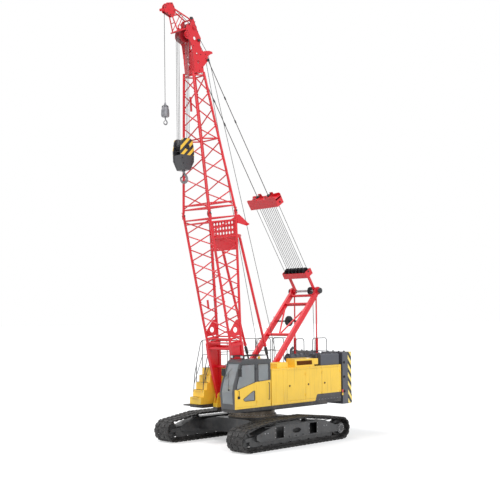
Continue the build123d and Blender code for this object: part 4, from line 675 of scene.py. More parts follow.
# ---------------------------------------------------------------- tracks
def track_path():
    """Closed line of the shoes' inner faces: points (y, z), starting round the idler."""
    wheels = [(-AXLE_Y, AXLE_Z, END_WRAP), (AXLE_Y, AXLE_Z, END_WRAP),
              (*CARRIERS[0], CARRIER_WRAP), (*CARRIERS[1], CARRIER_WRAP)]
    headings = []
    for (y0, z0, r0), (y1, z1, r1) in zip(wheels, wheels[1:] + wheels[:1]):
        span = math.hypot(y1 - y0, z1 - z0)
        headings.append(math.atan2(z1 - z0, y1 - y0) + math.asin((r0 - r1) / span))
    points = []
    for index, (y, z, radius) in enumerate(wheels):
        start, end = headings[index - 1], headings[index]
        while end < start:
            end += 2 * math.pi
        steps = max(2, int((end - start) / 0.02))
        for step in range(steps + 1):
            angle = start + (end - start) * step / steps
            points.append(Vector((y + radius * math.sin(angle), z - radius * math.cos(angle))))
    return points


def places_along(points, count):
    """Evenly spaced places on a closed line, point and heading at each, and their pitch."""
    closed = points + points[:1]
    lengths = [(b - a).length for a, b in zip(closed, closed[1:])]
    pitch = sum(lengths) / count
    found, run, index = [], 0.0, 0
    for number in range(count):
        target = (number + 0.5) * pitch
        while run + lengths[index] < target:
            run += lengths[index]
            index += 1
        a, b = closed[index], closed[index + 1]
        found.append((a.lerp(b, (target - run) / lengths[index]), (b - a).normalized()))
    return found, pitch


def shoe(pitch):
    """One cast shoe, x across, y along the track, z outwards, with its chain link below."""
    build = Build()
    half, reach = pitch / 2, SHOE_WIDTH / 2
    build.prism([(-half * 1.04, 0.006), (-half * 0.94, 0.024), (half * 0.94, 0.024), (half * 1.04, 0.006),
                 (half * 0.98, 0.0), (-half * 0.98, 0.0)], -reach, reach)
    pad = [(-half * 0.72, 0.02), (-half * 0.62, 0.055), (half * 0.62, 0.055), (half * 0.72, 0.02)]
    for low, high in ((-reach, -0.19), (-0.13, 0.13), (0.19, reach)):
        build.prism(pad, low, high)
    for side in (-1, 1):
        build.prism([(-half * 0.5, -0.02), (-half * 0.62, 0.02), (half * 0.62, 0.02), (half * 0.5, -0.02)],
                    *mirrored(side, reach - 0.06, reach))
        for y in (-half * 0.32, half * 0.32):
            build.bolt((side * 0.16, y, 0.025), UP, 0.03)
    for number, x in enumerate((-0.36, -0.28, -0.06, 0.06, 0.28, 0.36)):
        y = half if number % 2 else -half       # hinge lugs, in turn on the two edges
        build.rod((x - 0.034, y * 0.99, 0.009), (x + 0.034, y * 0.99, 0.009), 0.015, 10)
        build.box((x - 0.034, x + 0.034), sorted((y * 0.99, y * 0.7)), (-0.002, 0.02))
    link = [(-0.98, -0.03), (-0.98, -0.066), (-0.6, -0.086), (0.6, -0.086), (0.98, -0.066), (0.98, -0.03),
            (0.62, 0.0), (-0.62, 0.0)]
    for side in (-1, 1):
        for x, shift in ((0.059, 0.06), (0.0766, -0.06)):
            outline = [(half * (y + shift), z) for y, z in link]
            build.prism(outline, side * x, side * (x + 0.0165))
    build.rod((-0.1, half * 0.98, -0.048), (0.1, half * 0.98, -0.048), 0.021, 12)
    return build


def make_track(side, name):
    """Chain of shoes round one side, in place of the plain loop."""
    places, pitch = places_along(track_path(), SHOE_COUNT)
    matrices = []
    for place, along in places:
        outward, heading = Vector((0, along.y, -along.x)), Vector((0, along.x, along.y))
        turn = Matrix((heading.cross(outward), heading, outward)).transposed().to_4x4()
        matrices.append(Matrix.Translation((side * TRACK_X, place.x, place.y)) @ turn)
    chain = Build()
    chain.copies(matrices, shoe(pitch))
    piece = chain.piece(f"{name}_shoes", track_steel, "undercarriage", "track_steel", bevel=0.0025, smooth=30)
    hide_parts(name)


make_track(1, "track_left")
make_track(-1, "track_right")


def make_undercarriage():
    """Bolts, cover frames, roller guards and hoses of the track frames, and bolts on the slewing ring."""
    wall = TRACK_X + 0.3
    bolts, trim, hoses = Build(), Build(), Build()
    for side in (-1, 1):
        for radius, count, out, size in ((0.135, 12, 0.336, 0.026), (0.186, 16, 0.314, 0.02)):
            for y, z in circle(radius, count, AXLE_Y, AXLE_Z):
                bolts.bolt((side * (TRACK_X + out), y, z), (side, 0, 0), size)
        for y in (-0.92, 0.92):
            for dy in (-0.235, 0.235):
                for dz in (-0.16, 0.0, 0.16):
                    bolts.bolt((side * wall, y + dy, 0.6 + dz), (side, 0, 0), 0.03)
        for y in (-1.7, -1.55, 1.55, 1.7):
            bolts.bolt((side * wall, y, 0.62), (side, 0, 0), 0.034)
    for x, y in circle(0.92, 48):
        bolts.bolt((x, y, 1.06), UP, 0.036)
    bolts.piece("undercarriage_bolts", bright_steel, "undercarriage", "bright_steel", smooth=25)

    guard = [(-2.36, 0.3), (-2.3, 0.17), (-2.1, 0.15)]
    for number in range(8):
        y = -1.79 + 0.5114 * number
        guard += [(y - 0.12, 0.15), (y - 0.08, 0.19), (y + 0.08, 0.19), (y + 0.12, 0.15)]
    guard += [(2.18, 0.15), (2.24, 0.3), (2.2, 0.46), (2.0, 0.46), (2.0, 0.345), (-2.0, 0.345), (-2.1, 0.5),
              (-2.28, 0.5)]
    for side in (-1, 1):
        for y in (-0.92, 0.92):
            outer = [(y + dy, 0.5925 + dz) for dy, dz in bar(0.222, 0.2245)]
            inner = [(y + dy, 0.5925 + dz) for dy, dz in bar(0.205, 0.2075)]
            trim.frame(outer, inner, *mirrored(side, wall, wall + 0.012))
        for z in (0.37, 0.835):
            trim.box(mirrored(side, wall, wall + 0.016), (-1.72, 2.0), (z - 0.012, z + 0.012))
        for radius, height in ((0.075, 0.014), (0.045, 0.026)):
            trim.disc((side * wall, -1.85, 0.6), (side, 0, 0), radius, height, 24)
        for offset in (-0.14, 0.125):
            trim.prism(guard, *mirrored(side, TRACK_X + offset, TRACK_X + offset + 0.015))
        for y in (-0.38, 0.0, 0.38):
            trim.prism([(y - 0.05, 0.42), (y + 0.05, 0.42), (y + 0.04, 0.36), (y - 0.04, 0.36)],
                       *mirrored(side, wall, wall + 0.03))
    trim.piece("track_frame_trim", under_paint, "undercarriage", "undercarriage", bevel=0.003)

    for side in (-1, 1):
        for lift in (0.0, 0.045, 0.09):
            hoses.pipe([(side * 0.5, 1.16 + lift, 0.86), (side * 1.1, 1.19 + lift, 0.78),
                        (side * 1.62, 1.5, 0.62 + lift), (side * 1.66, 2.2, 0.52 + lift),
                        (side * 1.62, 2.5, 0.5 + lift)], 0.016, 0.2, 10, 8)
    hoses.piece("travel_hoses", black_rubber, "undercarriage", "dark_paint")


make_undercarriage()

# ---------------------------------------------------------------- ropes
STRANDS = [(u * depth, v * depth) for (u, v), depth in zip(circle(ROPE, 12), (1.0, 0.8) * 6)]
LAY = 2 * math.pi / 0.18        # twist of the strands, radians a metre


def rope(build, path, spacing=0.016):
    """Six-strand wire rope along a path."""
    build.sweep(divided(path, spacing), STRANDS, twist=LAY)


def arc(x, y, z, radius, start, end, steps):
    """Points on a circle across the x axis, from one angle to another in degrees: 0 is +y, 90 is +z."""
    angles = [math.radians(start + (end - start) * i / steps) for i in range(steps + 1)]
    return [Vector((x, y + radius * math.cos(a), z + radius * math.sin(a))) for a in angles]


def make_falls():
    """Falls under the boom head and their wraps round the sheaves."""
    falls = Build()
    for x in FALLS_X:
        for y in (MAIN_AXIS[0] - MAIN_WRAP, MAIN_AXIS[0] + MAIN_WRAP):
            rope(falls, [(x, y, MAIN_AXIS[1]), (x, y, BLOCK_Z)])
    # The falls take the lighter rope colour, which is painted light.
    piece = falls.piece("main_fall_ropes", lit_fall_rope, None, "rope_steel")
    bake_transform(piece)
    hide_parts("main_falls")

    single = Build()
    rope(single, [(0, AUX_Y, AUX_AXIS[1]), (0, AUX_Y, AUX_TOP - 0.02)])
    piece = single.piece("auxiliary_fall_rope", rope_steel, None, "rope_steel")
    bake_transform(piece)
    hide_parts("auxiliary_fall")

    head = Build()
    for x in FALLS_X:
        rope(head, arc(x, *MAIN_AXIS, MAIN_WRAP, -52, 180, 40))
    rope(head, arc(0, *AUX_AXIS, AUX_WRAP, 38, 180, 28))
    head.piece("head_rope_wraps", rope_steel, "boom", "rope_steel")
    lower = Build()
    for x in FALLS_X:
        rope(lower, arc(x, MAIN_AXIS[0], BLOCK_Z, MAIN_WRAP, 180, 360, 32))
    lower.piece("block_rope_wraps", rope_steel, "main_block", "rope_steel")


def make_running_ropes():
    """Two hoist ropes from the winches over the boom head, and the luffing rope with its tackle."""
    roller = on_boom(0, REAR_ROLLER[0] + REAR_ROLLER[2] + ROPE, REAR_ROLLER[1])
    hoists = Build()
    for drum, x_drum, x_guide in ((1, 0.0, 0.06), (0, -0.2, -0.06)):
        _, y, z, radius, _ = DRUMS[drum]
        path = [Vector((x_drum, y + radius + WOUND + ROPE, z)),
                Vector((x_drum * 0.75 + x_guide * 0.25, roller.y, roller.z))]
        path += [on_boom(x_guide, y, z) for y, z in circle(GUIDE[2], 36, *GUIDE[:2])[:10]]
        if drum:
            path.append(Vector((0, AUX_AXIS[0] + AUX_WRAP * 0.6, AUX_AXIS[1] + AUX_WRAP * 0.8)))
        else:
            path.append(Vector((-0.08, MAIN_AXIS[0] + 0.05, MAIN_AXIS[1] + MAIN_WRAP)))
        rope(hoists, path, 0.02)
    piece = hoists.piece("hoist_ropes", rope_steel, None, "rope_steel")
    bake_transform(piece)

    luffing = Build()
    _, y, z, radius, _ = DRUMS[2]
    start = Vector((0.3, y + radius + WOUND + ROPE, z))
    rope(luffing, [start, *arc(0.3, *GANTRY_TOP.yz, 0.14, 0, 120, 12)])
    luffing.piece("luffing_rope", tackle_steel, "upper", "rope_steel")

    tackle = Build()
    for x in TACKLE_X:
        for y in (-TACKLE_WRAP, TACKLE_WRAP):
            rope(tackle, [on_stay(x, y, BAIL_REACH), on_stay(x, y, SPREADER_REACH)], 0.025)
    piece = tackle.piece("luffing_tackle_ropes", tackle_steel, None, "rope_steel")
    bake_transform(piece)
    for body, reach, start, end in (("bail", BAIL_REACH, 180, 360), ("spreader", SPREADER_REACH, 0, 180)):
        wraps = Build()
        for x in TACKLE_X:
            rope(wraps, [on_stay(*point) for point in arc(x, 0, reach, TACKLE_WRAP, start, end, 16)], 0.03)
        wraps.piece(f"{body}_rope_wraps", tackle_steel, body, "rope_steel")


def make_windings():
    """Rope wound on the three winch drums, close turn by close turn."""
    for name, y, z, radius, half in DRUMS:
        wound = Build()
        reach, pitch = radius + WOUND, 0.0226
        turns = int((2 * half - 0.03) / pitch)
        path = []
        for step in range(turns * 36 + 1):
            turn = 2 * math.pi * step / 36
            x = -half + 0.015 + pitch * step / 36
            path.append(Vector((x, y + reach * math.cos(turn), z + reach * math.sin(turn))))
        wound.sweep(path, circle(ROPE, 6))
        core, length = turned((-half + 0.004, y, z), (1, 0, 0)), 2 * half - 0.008
        wound.revolve(((radius - 0.002, 0), (reach - 0.004, 0), (reach - 0.004, length),
                       (radius - 0.002, length)), core, 36)
        wound.piece(f"{name}_winding", rope_steel, name, "rope_steel", smooth=60)


make_falls()
make_running_ropes()
make_windings()


# ---------------------------------------------------------------- hooks and hook block
def forged_hook(node, y, shank_top, neck, centre, radius, thick):
    """Forged single hook that opens forwards: swept body that swells in the bowl and tapers to the tip."""
    shank, throat = Vector((0, y, shank_top)), Vector((0, y, neck))
    bowl, sizes = [], []
    steps = 34
    for step in range(steps + 1):
        share = step / steps
        turn = math.radians(68 - 262 * share)
        reach = radius * (1 + 0.05 * math.sin(math.pi * share))
        bowl.append(Vector((0, y + reach * math.cos(turn), centre + reach * math.sin(turn))))
        swell = 0.86 + 0.24 * math.sin(math.pi * min(1.0, share * 1.15))
        taper = 1.0 if share < 0.72 else 1.0 - 0.62 * ((share - 0.72) / 0.28) ** 1.4
        sizes.append(swell * taper)
    build = Build()
    build.sweep([shank, throat.lerp(shank, 0.3), throat, throat.lerp(bowl[0], 0.5), *bowl],
                circle(thick, 18), scale=[0.92, 0.92, 0.95, 0.9, *sizes])
    build.disc((0, y, neck + thick * 0.2), UP, thick * 1.35, thick * 0.55, 24)
    hook = build.piece(f"forged_{node}", hook_steel, node, "dark_steel", smooth=50)
    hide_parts(node)
    latch = Build()
    tip, back = bowl[-4], Vector((0, y + thick * 0.2, centre + radius * 1.15))
    sagged = back.lerp(tip, 0.5) - Vector((0, 0, radius * 0.05))
    latch.sweep([back, sagged, tip + Vector((0, thick * 0.4, 0))], bar(thick * 0.42, thick * 0.12))
    pin = Vector((thick * 0.9, 0, 0))
    latch.rod(back - pin, back + pin, thick * 0.2)
    latch.piece(f"forged_{node}_latch", dark_paint, node, "dark_paint", bevel=0.001)


def make_block_trim():
    """Pin caps, bolts and rope guards of the hook block, and the ribs on the auxiliary weight."""
    trim, rib, lugs = Build(), Build(), Build()
    y = MAIN_AXIS[0]
    for side in (-1, 1):
        trim.disc((side * 0.24, y, BLOCK_Z), (side, 0, 0), 0.1, 0.012, 28)
        for y_bolt, z_bolt in circle(0.078, 6, y, BLOCK_Z):
            trim.bolt((side * 0.252, y_bolt, z_bolt), (side, 0, 0), 0.022)
        for dy, dz in ((0.25, -0.42), (0.2, -0.62), (0.12, 0.27)):
            for y_bolt in (y - dy, y + dy):
                trim.bolt((side * 0.24, y_bolt, BLOCK_Z + dz), (side, 0, 0), 0.036)
    for dy in (-0.285, 0.285):
        for dz in (-0.18, 0.0):
            trim.rod((-0.19, y + dy, BLOCK_Z + dz), (0.19, y + dy, BLOCK_Z + dz), 0.012)
    trim.piece("hook_block_bolts", dark_steel, "main_block", "dark_steel", smooth=30)

    rib.prism([(0.03, 12.64), (0.098, 12.64), (0.118, 12.6), (0.128, 12.61), (0.12, 12.665), (0.05, 12.7)],
              -0.012, 0.012, axis=1)
    lugs.copies([Matrix.Translation((0, AUX_Y, 0)) @ Matrix.Rotation(math.radians(angle), 4, "Z")
                 for angle in (45, 135, 225, 315)], rib)
    lugs.piece("auxiliary_weight_lugs", dark_paint, "auxiliary_ball", "dark_paint", bevel=0.002)


forged_hook("main_hook", MAIN_AXIS[0], 10.66, 10.33, 10.084, 0.15, 0.046)
forged_hook("auxiliary_hook", AUX_Y, 12.34, 12.19, 12.067, 0.08, 0.022)
make_block_trim()


# ---------------------------------------------------------------- handrails
def make_handrails():
    """Guard rails of the two roofs and the steps, bent from round tube."""
    rails = Build()
    tube, top = 0.015, 3.98
    for x, spans in ((-1.47, ((-0.36, 0.62), (0.72, 1.7), (1.8, 2.78))), (0.9, ((1.62, 2.1), (2.62, 3.5))),
                     (-0.86, ((1.05, 1.95), (2.05, 2.95)))):
        for front, rear in spans:
            loop = [(x, front, ROOF_Z), (x, front, top), (x, rear, top), (x, rear, ROOF_Z)]
            rails.pipe(loop, tube, 0.14, 10, 7)
            rails.rod((x, front, 3.46), (x, rear, 3.46), tube * 0.8, 10)
            for y in (front, rear):
                rails.disc((x, y, ROOF_Z), UP, 0.045, 0.01, 16)
    for x in (-1.5, -0.94):
        rails.pipe([(x, -1.78, 1.95), (x, -1.72, 2.62), (x, -1.36, top), (x, -0.46, top), (x, -0.46, ROOF_Z)],
                   tube, 0.16, 10, 7)
        rails.pipe([(x, -1.755, 2.25), (x, -1.28, 3.4), (x, -0.46, 3.4)], tube * 0.8, 0.1, 10, 6)
        rails.rod((x, -1.3, ROOF_Z), (x, -1.3, top), tube, 10)
        rails.rod((x, -1.62, 2.32), (x, -1.62, 2.98), tube, 10)
        rails.rod((x, -1.62, 2.32), (x, -1.5, 2.32), tube, 10)
    for y in (-0.36, 2.78):
        rails.pipe([(-1.47, y, top), (-0.9, y, top), (-0.9, y, ROOF_Z)], tube, 0.12, 10, 6)
    rails.piece("guard_rails", rail_paint, "upper", "dark_paint", smooth=50)


make_handrails()


# ---------------------------------------------------------------- cab
CAB_MIDDLE = (CAB_IN + CAB_OUT) / 2
CAB_FLOOR, CAB_ROOF = 1.53, 3.28
LAMPS_X = (CAB_IN + 0.09, CAB_OUT - 0.09)
MIRRORS = ((CAB_OUT, CAB_OUT + 0.2, -2.27), (CAB_IN + 0.04, CAB_IN + 0.1, -2.335))  # x of root, x and y


def swollen(value, power):
    """The value raised to the power with its sign kept."""
    return math.copysign(abs(value) ** power, value)


def cushion(name, place, size, crown, seams):
    """Padded seat part: crowned closed form with pulled-in sides and sewn channels."""
    half_x, half_y, half_z = (value / 2 for value in size)
    build = Build(lambda x, y, z: place @ Vector((x, y, z)))
    rings, around = 26, 64
    points = []
    for ring in range(rings + 1):
        polar = -math.pi / 2 + math.pi * ring / rings
        flat, lift = swollen(math.cos(polar), 0.28), swollen(math.sin(polar), 0.55)
        for step in range(around):
            turn = 2 * math.pi * step / around
            u, v = swollen(math.cos(turn), 0.42) * flat, swollen(math.sin(turn), 0.42) * flat
            pulled = 1 - 0.05 * (1 - abs(lift)) * (abs(u) * abs(v))
            puff = 1 + crown * (1 - u * u) * (1 - v * v)
            channel = sum(math.exp(-((u - seam) / 0.05) ** 2) for seam in seams)
            height = half_z * lift * (puff - (0.22 * channel if lift > 0 else 0.0))
            points.append((half_x * u * pulled, half_y * v * pulled, height))
    build.add(points, tube_faces(rings + 1, around, False))
    made = build.piece(name, seat_cloth, "upper", "seat_fabric", smooth=60)


def make_seat():
    """Operator's seat: pedestal, cushion, backrest, headrest and armrests."""
    base = Build()
    x = CAB_MIDDLE
    base.prism([(-1.43, CAB_FLOOR), (-1.17, CAB_FLOOR), (-1.2, CAB_FLOOR + 0.2), (-1.4, CAB_FLOOR + 0.2)],
               x - 0.14, x + 0.14)
    for level in range(4):
        z = CAB_FLOOR + 0.2 + 0.03 * level
        base.box((x - 0.12, x + 0.12), (-1.41, -1.19), (z, z + 0.02))
    base.box((x - 0.21, x + 0.21), (-1.5, -1.06), (1.85, 1.872))
    base.sweep([(x, -1.075, 1.86), (x, -1.03, 1.95), (x, -0.9, 2.6)], bar(0.02, 0.17))
    for side in (-1, 1):
        arm = x + side * 0.27
        base.pipe([(arm, -1.08, 1.9), (arm, -1.08, 2.1), (arm, -1.4, 2.12)], 0.018, 0.06, 10)
        base.box((arm - 0.035, arm + 0.035), (-1.46, -1.14), (2.115, 2.15))
        base.pipe([(arm, -1.45, 2.14), (arm, -1.46, 2.27)], 0.012, 0.02, 8)
        base.revolve([(MIDDLE, 0), (0.022, 0), (0.03, 0.05), (0.024, 0.095), (MIDDLE, 0.1)],
                     turned((arm, -1.46, 2.24), (0, -0.1, 1)), 14)
    support = base.piece("seat_frame", moulded, "upper", "console_plastic", bevel=0.004)
    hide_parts("cab_seat")
    for name, y, z, lean, size, crown, seams in (
            ("seat_cushion", -1.3, 1.925, 0, (0.47, 0.5, 0.105), 0.35, (-0.55, 0.55)),
            ("seat_backrest", -1.01, 2.24, 76, (0.43, 0.58, 0.1), 0.4, (-0.5, 0.5)),
            ("seat_headrest", -0.915, 2.61, 78, (0.24, 0.15, 0.08), 0.35, ())):
        place = Matrix.Translation((x, y, z)) @ Matrix.Rotation(math.radians(lean), 4, "X")
        cushion(name, place, size, crown, seams)


def make_window_seals():
    """Rubber gaskets round the windows of the door and the pane behind it."""
    seals = {"cab_door": Build(), "upper": Build()}
    for body, outline in (("cab_door", DOOR_WINDOW), ("cab_door", LOW_WINDOW), ("upper", REAR_WINDOW)):
        corners = [Vector((CAB_OUT + 0.002, y, z)) for y, z in outline]
        ring = []
        for before, corner, after in zip(corners[-1:] + corners, corners, corners[1:] + corners[:1]):
            back, on = (before - corner).normalized() * 0.04, (after - corner).normalized() * 0.04
            ring += [corner + back, corner + (back + on) * 0.18, corner + on]
        seals[body].sweep(ring, bar(0.012, 0.005), closed=True)
    for body, build in seals.items():
        build.piece(f"{body}_window_seals", black_rubber, body, "dark_paint", bevel=0.001)


def make_cab_trim():
    """Wiper, mirrors, roof rails and lamps, door handle, beacon and grab rail of the cab."""
    trim, lamps, glossy, door, beacon, grab = (Build() for _ in range(6))
    x = CAB_MIDDLE
    trim.pipe([(x + 0.12, -2.455, 2.2), (x + 0.1, -2.44, 2.42), (x - 0.06, -2.29, 2.84)], 0.008, 0.03)
    trim.sweep([(x - 0.2, -2.36, 2.66), (x + 0.08, -2.235, 2.99)], bar(0.006, 0.01))
    trim.disc((x + 0.12, -2.45, 2.2), (0, -1, 0), 0.03, 0.03)
    for root, middle, y in MIRRORS:
        arm = [(root, y + 0.27, 3.12), (middle, y + 0.07, 3.12), (middle, y, 2.98), (middle, y, 2.7)]
        trim.pipe(arm, 0.011, 0.05)
        trim.box((middle - 0.085, middle + 0.085), (y - 0.045, y - 0.01), (2.7, 2.98))
        glossy.box((middle - 0.075, middle + 0.075), (y - 0.011, y - 0.007), (2.71, 2.97))
    for side in LAMPS_X:
        trim.rod((side, -1.86, 3.3), (side, -1.86, 3.36), 0.012)
        trim.box((side - 0.07, side + 0.07), (-1.92, -1.84), (3.35, 3.45))
        lamps.box((side - 0.06, side + 0.06), (-1.926, -1.918), (3.36, 3.44))
    rails = (CAB_IN + 0.04, CAB_OUT - 0.04)
    for side in rails:
        for front, rear in ((-1.9, -1.32), (-1.22, -0.6)):
            loop = [(side, front, CAB_ROOF), (side, front, 3.43), (side, rear, 3.43), (side, rear, CAB_ROOF)]
            trim.pipe(loop, 0.015, 0.06)
    for y in (-1.9, -1.22, -0.6):
        trim.rod((rails[0], y, 3.425), (rails[1], y, 3.425), 0.015)
    trim.piece("cab_fittings", black_rubber, "upper", "dark_paint", bevel=0.002)
    lamps.piece("cab_work_lamps", clear_lens, "upper", "bright_steel", bevel=0.001)
    glossy.piece("cab_mirror_faces", mirror_face, "upper", "bright_steel", bevel=0.0005)

    for build, y, low, high, out, radius, bend in ((door, -2.2, 1.98, 2.16, 0.05, 0.009, 0.02),
                                                   (grab, -0.62, 1.75, 2.38, 0.06, 0.013, 0.03)):
        build.pipe([(CAB_OUT, y, low), (CAB_OUT + out, y, low), (CAB_OUT + out, y, high), (CAB_OUT, y, high)],
                   radius, bend)
    door.box((CAB_OUT, CAB_OUT + 0.012), (-2.24, -2.12), (1.86, 1.96))
    door.box((CAB_OUT + 0.01, CAB_OUT + 0.03), (-2.22, -2.14), (1.9, 1.925))
    door.piece("cab_door_handle", black_rubber, "cab_door", "dark_paint", bevel=0.002)
    beacon.disc((x, -0.75, CAB_ROOF), UP, 0.055, 0.1, 24)
    beacon.piece("cab_beacon", amber_lens, "upper", "body_orange")
    grab.piece("cab_grab_rail", rail_paint, "upper", "dark_paint")


make_seat()
make_window_seals()
make_cab_trim()


# ---------------------------------------------------------------- housings, roof and tail
def make_housing_trim():
    """Slats of the intake, edge strips with their bolts, and door latches."""
    slats, strips, bolts = Build(), Build(), Build()
    for number in range(6):
        z = 2.962 + 0.026 * number
        slats.prism([(1.395, z + 0.012), (1.4, z + 0.018), (1.462, z + 0.003), (1.458, z - 0.003)],
                    1.072, 1.968, axis=1)
    slats.box((1.376, 1.384), (1.072, 1.968), (2.952, 3.118))
    slats.piece("intake_slats", grille_brown, "upper", "body_yellow")

    for side in (-1, 1):
        for z in (1.53, 2.845):
            strips.box(mirrored(side, WALL_X, WALL_X + 0.008), (-0.43, 3.645), (z - 0.02, z + 0.02))
            for number in range(22):
                bolts.bolt((side * (WALL_X + 0.008), -0.36 + 0.188 * number, z), (side, 0, 0), 0.016)
        for y in (-0.2, 0.2):
            strips.box(mirrored(side, WALL_X, WALL_X + 0.006), (y - 0.004, y + 0.004), (1.56, 2.82))
    strips.piece("housing_edge_strips", housing_yellow, "upper", "body_yellow", bevel=0.002)
    bolts.piece("housing_bolts", bright_steel, "upper", "bright_steel", smooth=25)

    for side, word in ((1, "left"), (-1, "right")):
        for number, front in enumerate(DOOR_FRONTS[word], start=1):
            latch = Build()
            y = front + 0.13
            latch.disc((side * (WALL_X + 0.008), y, 2.18), (side, 0, 0), 0.04, 0.006, 28)
            latch.box(mirrored(side, WALL_X + 0.012, WALL_X + 0.024), (y - 0.012, y + 0.012), (2.15, 2.21))
            latch.piece(f"{word}_door_latch_{number}", black_rubber, f"{word}_door_{number}", "dark_paint",
                        bevel=0.002)


def make_roof_trim():
    """Fan guards, silencer bands, pipes and caps on the left roof, and hatches on the right one."""
    clutter, right = Build(), Build()
    cooler_top = 3.34
    for y in (2.78, 3.3):
        fan = turned((1.16, y, cooler_top + 0.02), UP)
        for radius in (0.21, 0.165, 0.12, 0.075, 0.03):
            ring = [fan @ Vector((*point, 0)) for point in circle(radius, 32)]
            clutter.sweep(ring, circle(0.006, 6), closed=True)
        for x_arm, y_arm in circle(0.21, 8)[:4]:
            arm = Vector((x_arm, y_arm, 0))
            clutter.rod(fan @ arm, fan @ -arm, 0.005, 6)
    for y in (1.3, 1.62, 1.9, 2.2):
        ring = [(x, y, z) for x, z in circle(0.172, 32, 0.76, 3.21)]
        clutter.sweep(ring, bar(0.004, 0.02), closed=True)
    clutter.pipe([(0.95, 2.5, 3.2), (0.95, 2.42, 3.2), (0.8, 2.4, 3.1), (0.8, 2.4, 2.9)], 0.04, 0.06, 12)
    clutter.pipe([(1.25, 2.5, 3.26), (1.25, 2.44, 3.26), (1.25, 2.44, 2.9)], 0.03, 0.05, 12)
    for x, y, height in ((1.05, 3.05, 0.09), (1.3, 2.55, 0.07), (0.95, 3.5, 0.1), (1.35, 3.5, 0.06)):
        clutter.disc((x, y, cooler_top), UP, 0.04, height)
    clutter.piece("roof_fittings", roof_grey, "upper", "dark_paint", bevel=0.001)

    low, high = ROOF_Z + 0.02, ROOF_Z + 0.06
    for y in (0.2, 1.3, 2.4):
        right.box((-1.42, -0.92), (y, y + 0.8), (ROOF_Z, low))
        for x in (-1.36, -0.98):
            right.pipe([(x, y + 0.3, low), (x, y + 0.3, high), (x, y + 0.5, high), (x, y + 0.5, low)],
                       0.006, 0.02)
    right.disc((-1.2, -0.9, ROOF_Z), UP, 0.07, 0.05, 28)
    right.disc((-1.2, -0.9, ROOF_Z + 0.05), UP, 0.045, 0.03, 8)
    right.piece("roof_hatches", housing_yellow, "upper", "body_yellow", bevel=0.003)


def make_treads():
    """Grip strips on the steps and raised studs on the foot plate in front of them."""
    treads = Build()
    rise = (ROOF_Z - LEDGE_Z) / 5
    for step in range(5):
        y, z = -1.96 + 0.165 * step, LEDGE_Z + rise * (step + 1)
        for line in range(5):
            treads.box((-1.4, -0.995), (y - 0.03 + 0.03 * line, y - 0.014 + 0.03 * line), (z, z + 0.006))
    for row in range(8):
        for column in range(12):
            x, y, z = -1.53 + 0.06 * column, -2.24 + 0.036 * row, LEDGE_Z + 0.001
            lean = 0.009 if (row + column) % 2 else -0.009
            treads.sweep([(x - 0.012, y - lean, z), (x + 0.012, y + lean, z)], circle(0.0035, 6))
    treads.piece("step_treads", black_rubber, "upper", "dark_paint")


def make_tail_trim():
    """Pins, bolts and joint plates of the counterweight, and the lamps behind the housings."""
    steel, holder, red, amber = (Build() for _ in range(4))
    top, wall = 3.38, 1.5
    for x in (-1.2, -0.6, 0.6, 1.2):
        for y in (3.92, 4.26):
            steel.disc((x, y, top), UP, 0.05, 0.02)
            steel.bolt((x, y, top + 0.02), UP, 0.05)
    for side in (-1, 1):
        for z in (1.75, 2.35, 2.95):
            steel.disc((side * wall, 3.9, z), (side, 0, 0), 0.06, 0.012, 24)
            steel.bolt((side * (wall + 0.012), 3.9, z), (side, 0, 0), 0.05)
        for z in (1.6, 2.19, 2.78):
            steel.box(mirrored(side, 0.5, 0.9), (4.382, 4.389), (z - 0.06, z + 0.06))
        holder.box(mirrored(side, 1.42, 1.548), (3.661, 3.678), (1.58, 1.86))
        holder.box(mirrored(side, 1.5, 1.548), (3.67, 3.782), (1.58, 1.86))
        red.box(mirrored(side, 1.547, 1.556), (3.685, 3.77), (1.72, 1.84))
        amber.box(mirrored(side, 1.547, 1.556), (3.685, 3.77), (1.6, 1.7))
    steel.piece("counterweight_pins", dark_steel, "upper", "dark_steel", smooth=30)
    holder.piece("rear_lamp_holders", black_rubber, "upper", "dark_paint", bevel=0.003)
    red.piece("rear_red_lenses", red_lens, "upper", "boom_red", bevel=0.002)
    amber.piece("rear_amber_lenses", amber_lens, "upper", "body_orange", bevel=0.002)


make_housing_trim()
make_roof_trim()
make_treads()
make_tail_trim()


# ---------------------------------------------------------------- winches, gantry and boom
def make_winch_trim():
    """Gearbox covers and hoses of the winches, and the valve block between the girders."""
    gear, hoses = Build(), Build()
    for _, y, z, _, half in DRUMS:
        for side in (-1, 1):
            face = half + 0.074
            gear.disc((side * face, y, z), (side, 0, 0), 0.13, 0.02, 32)
            for y_bolt, z_bolt in circle(0.11, 10, y, z):
                gear.bolt((side * (face + 0.02), y_bolt, z_bolt), (side, 0, 0), 0.02)
        for back in (y, y + 0.05):
            hoses.pipe([(half + 0.1, back - 0.05, z - 0.06), (half + 0.14, back - 0.05, z - 0.2),
                        (half + 0.02, back - 0.1, 1.4), (0.3, back - 0.2, 1.3)], 0.013, 0.1, 10, 6)
    valve_top = 1.52
    gear.box((-0.3, 0.3), (-0.75, -0.25), (1.262, valve_top))
    for column in range(6):
        for row in range(2):
            x, y = -0.25 + 0.1 * column, -0.62 + 0.24 * row
            lift = valve_top + 0.02 * column
            gear.disc((x, y, valve_top), UP, 0.024, 0.04, 12)
            hoses.pipe([(x, y, valve_top + 0.03), (x, y, lift + 0.16), (x, y - 0.25, lift + 0.1),
                        (x * 1.4, -1.05, 1.45), (x * 1.4, -1.08, 1.28)], 0.011, 0.1)
    gear.piece("winch_gear_covers", dark_paint, "upper", "dark_paint", bevel=0.002)
    hoses.piece("deck_hoses", black_rubber, "upper", "dark_paint")


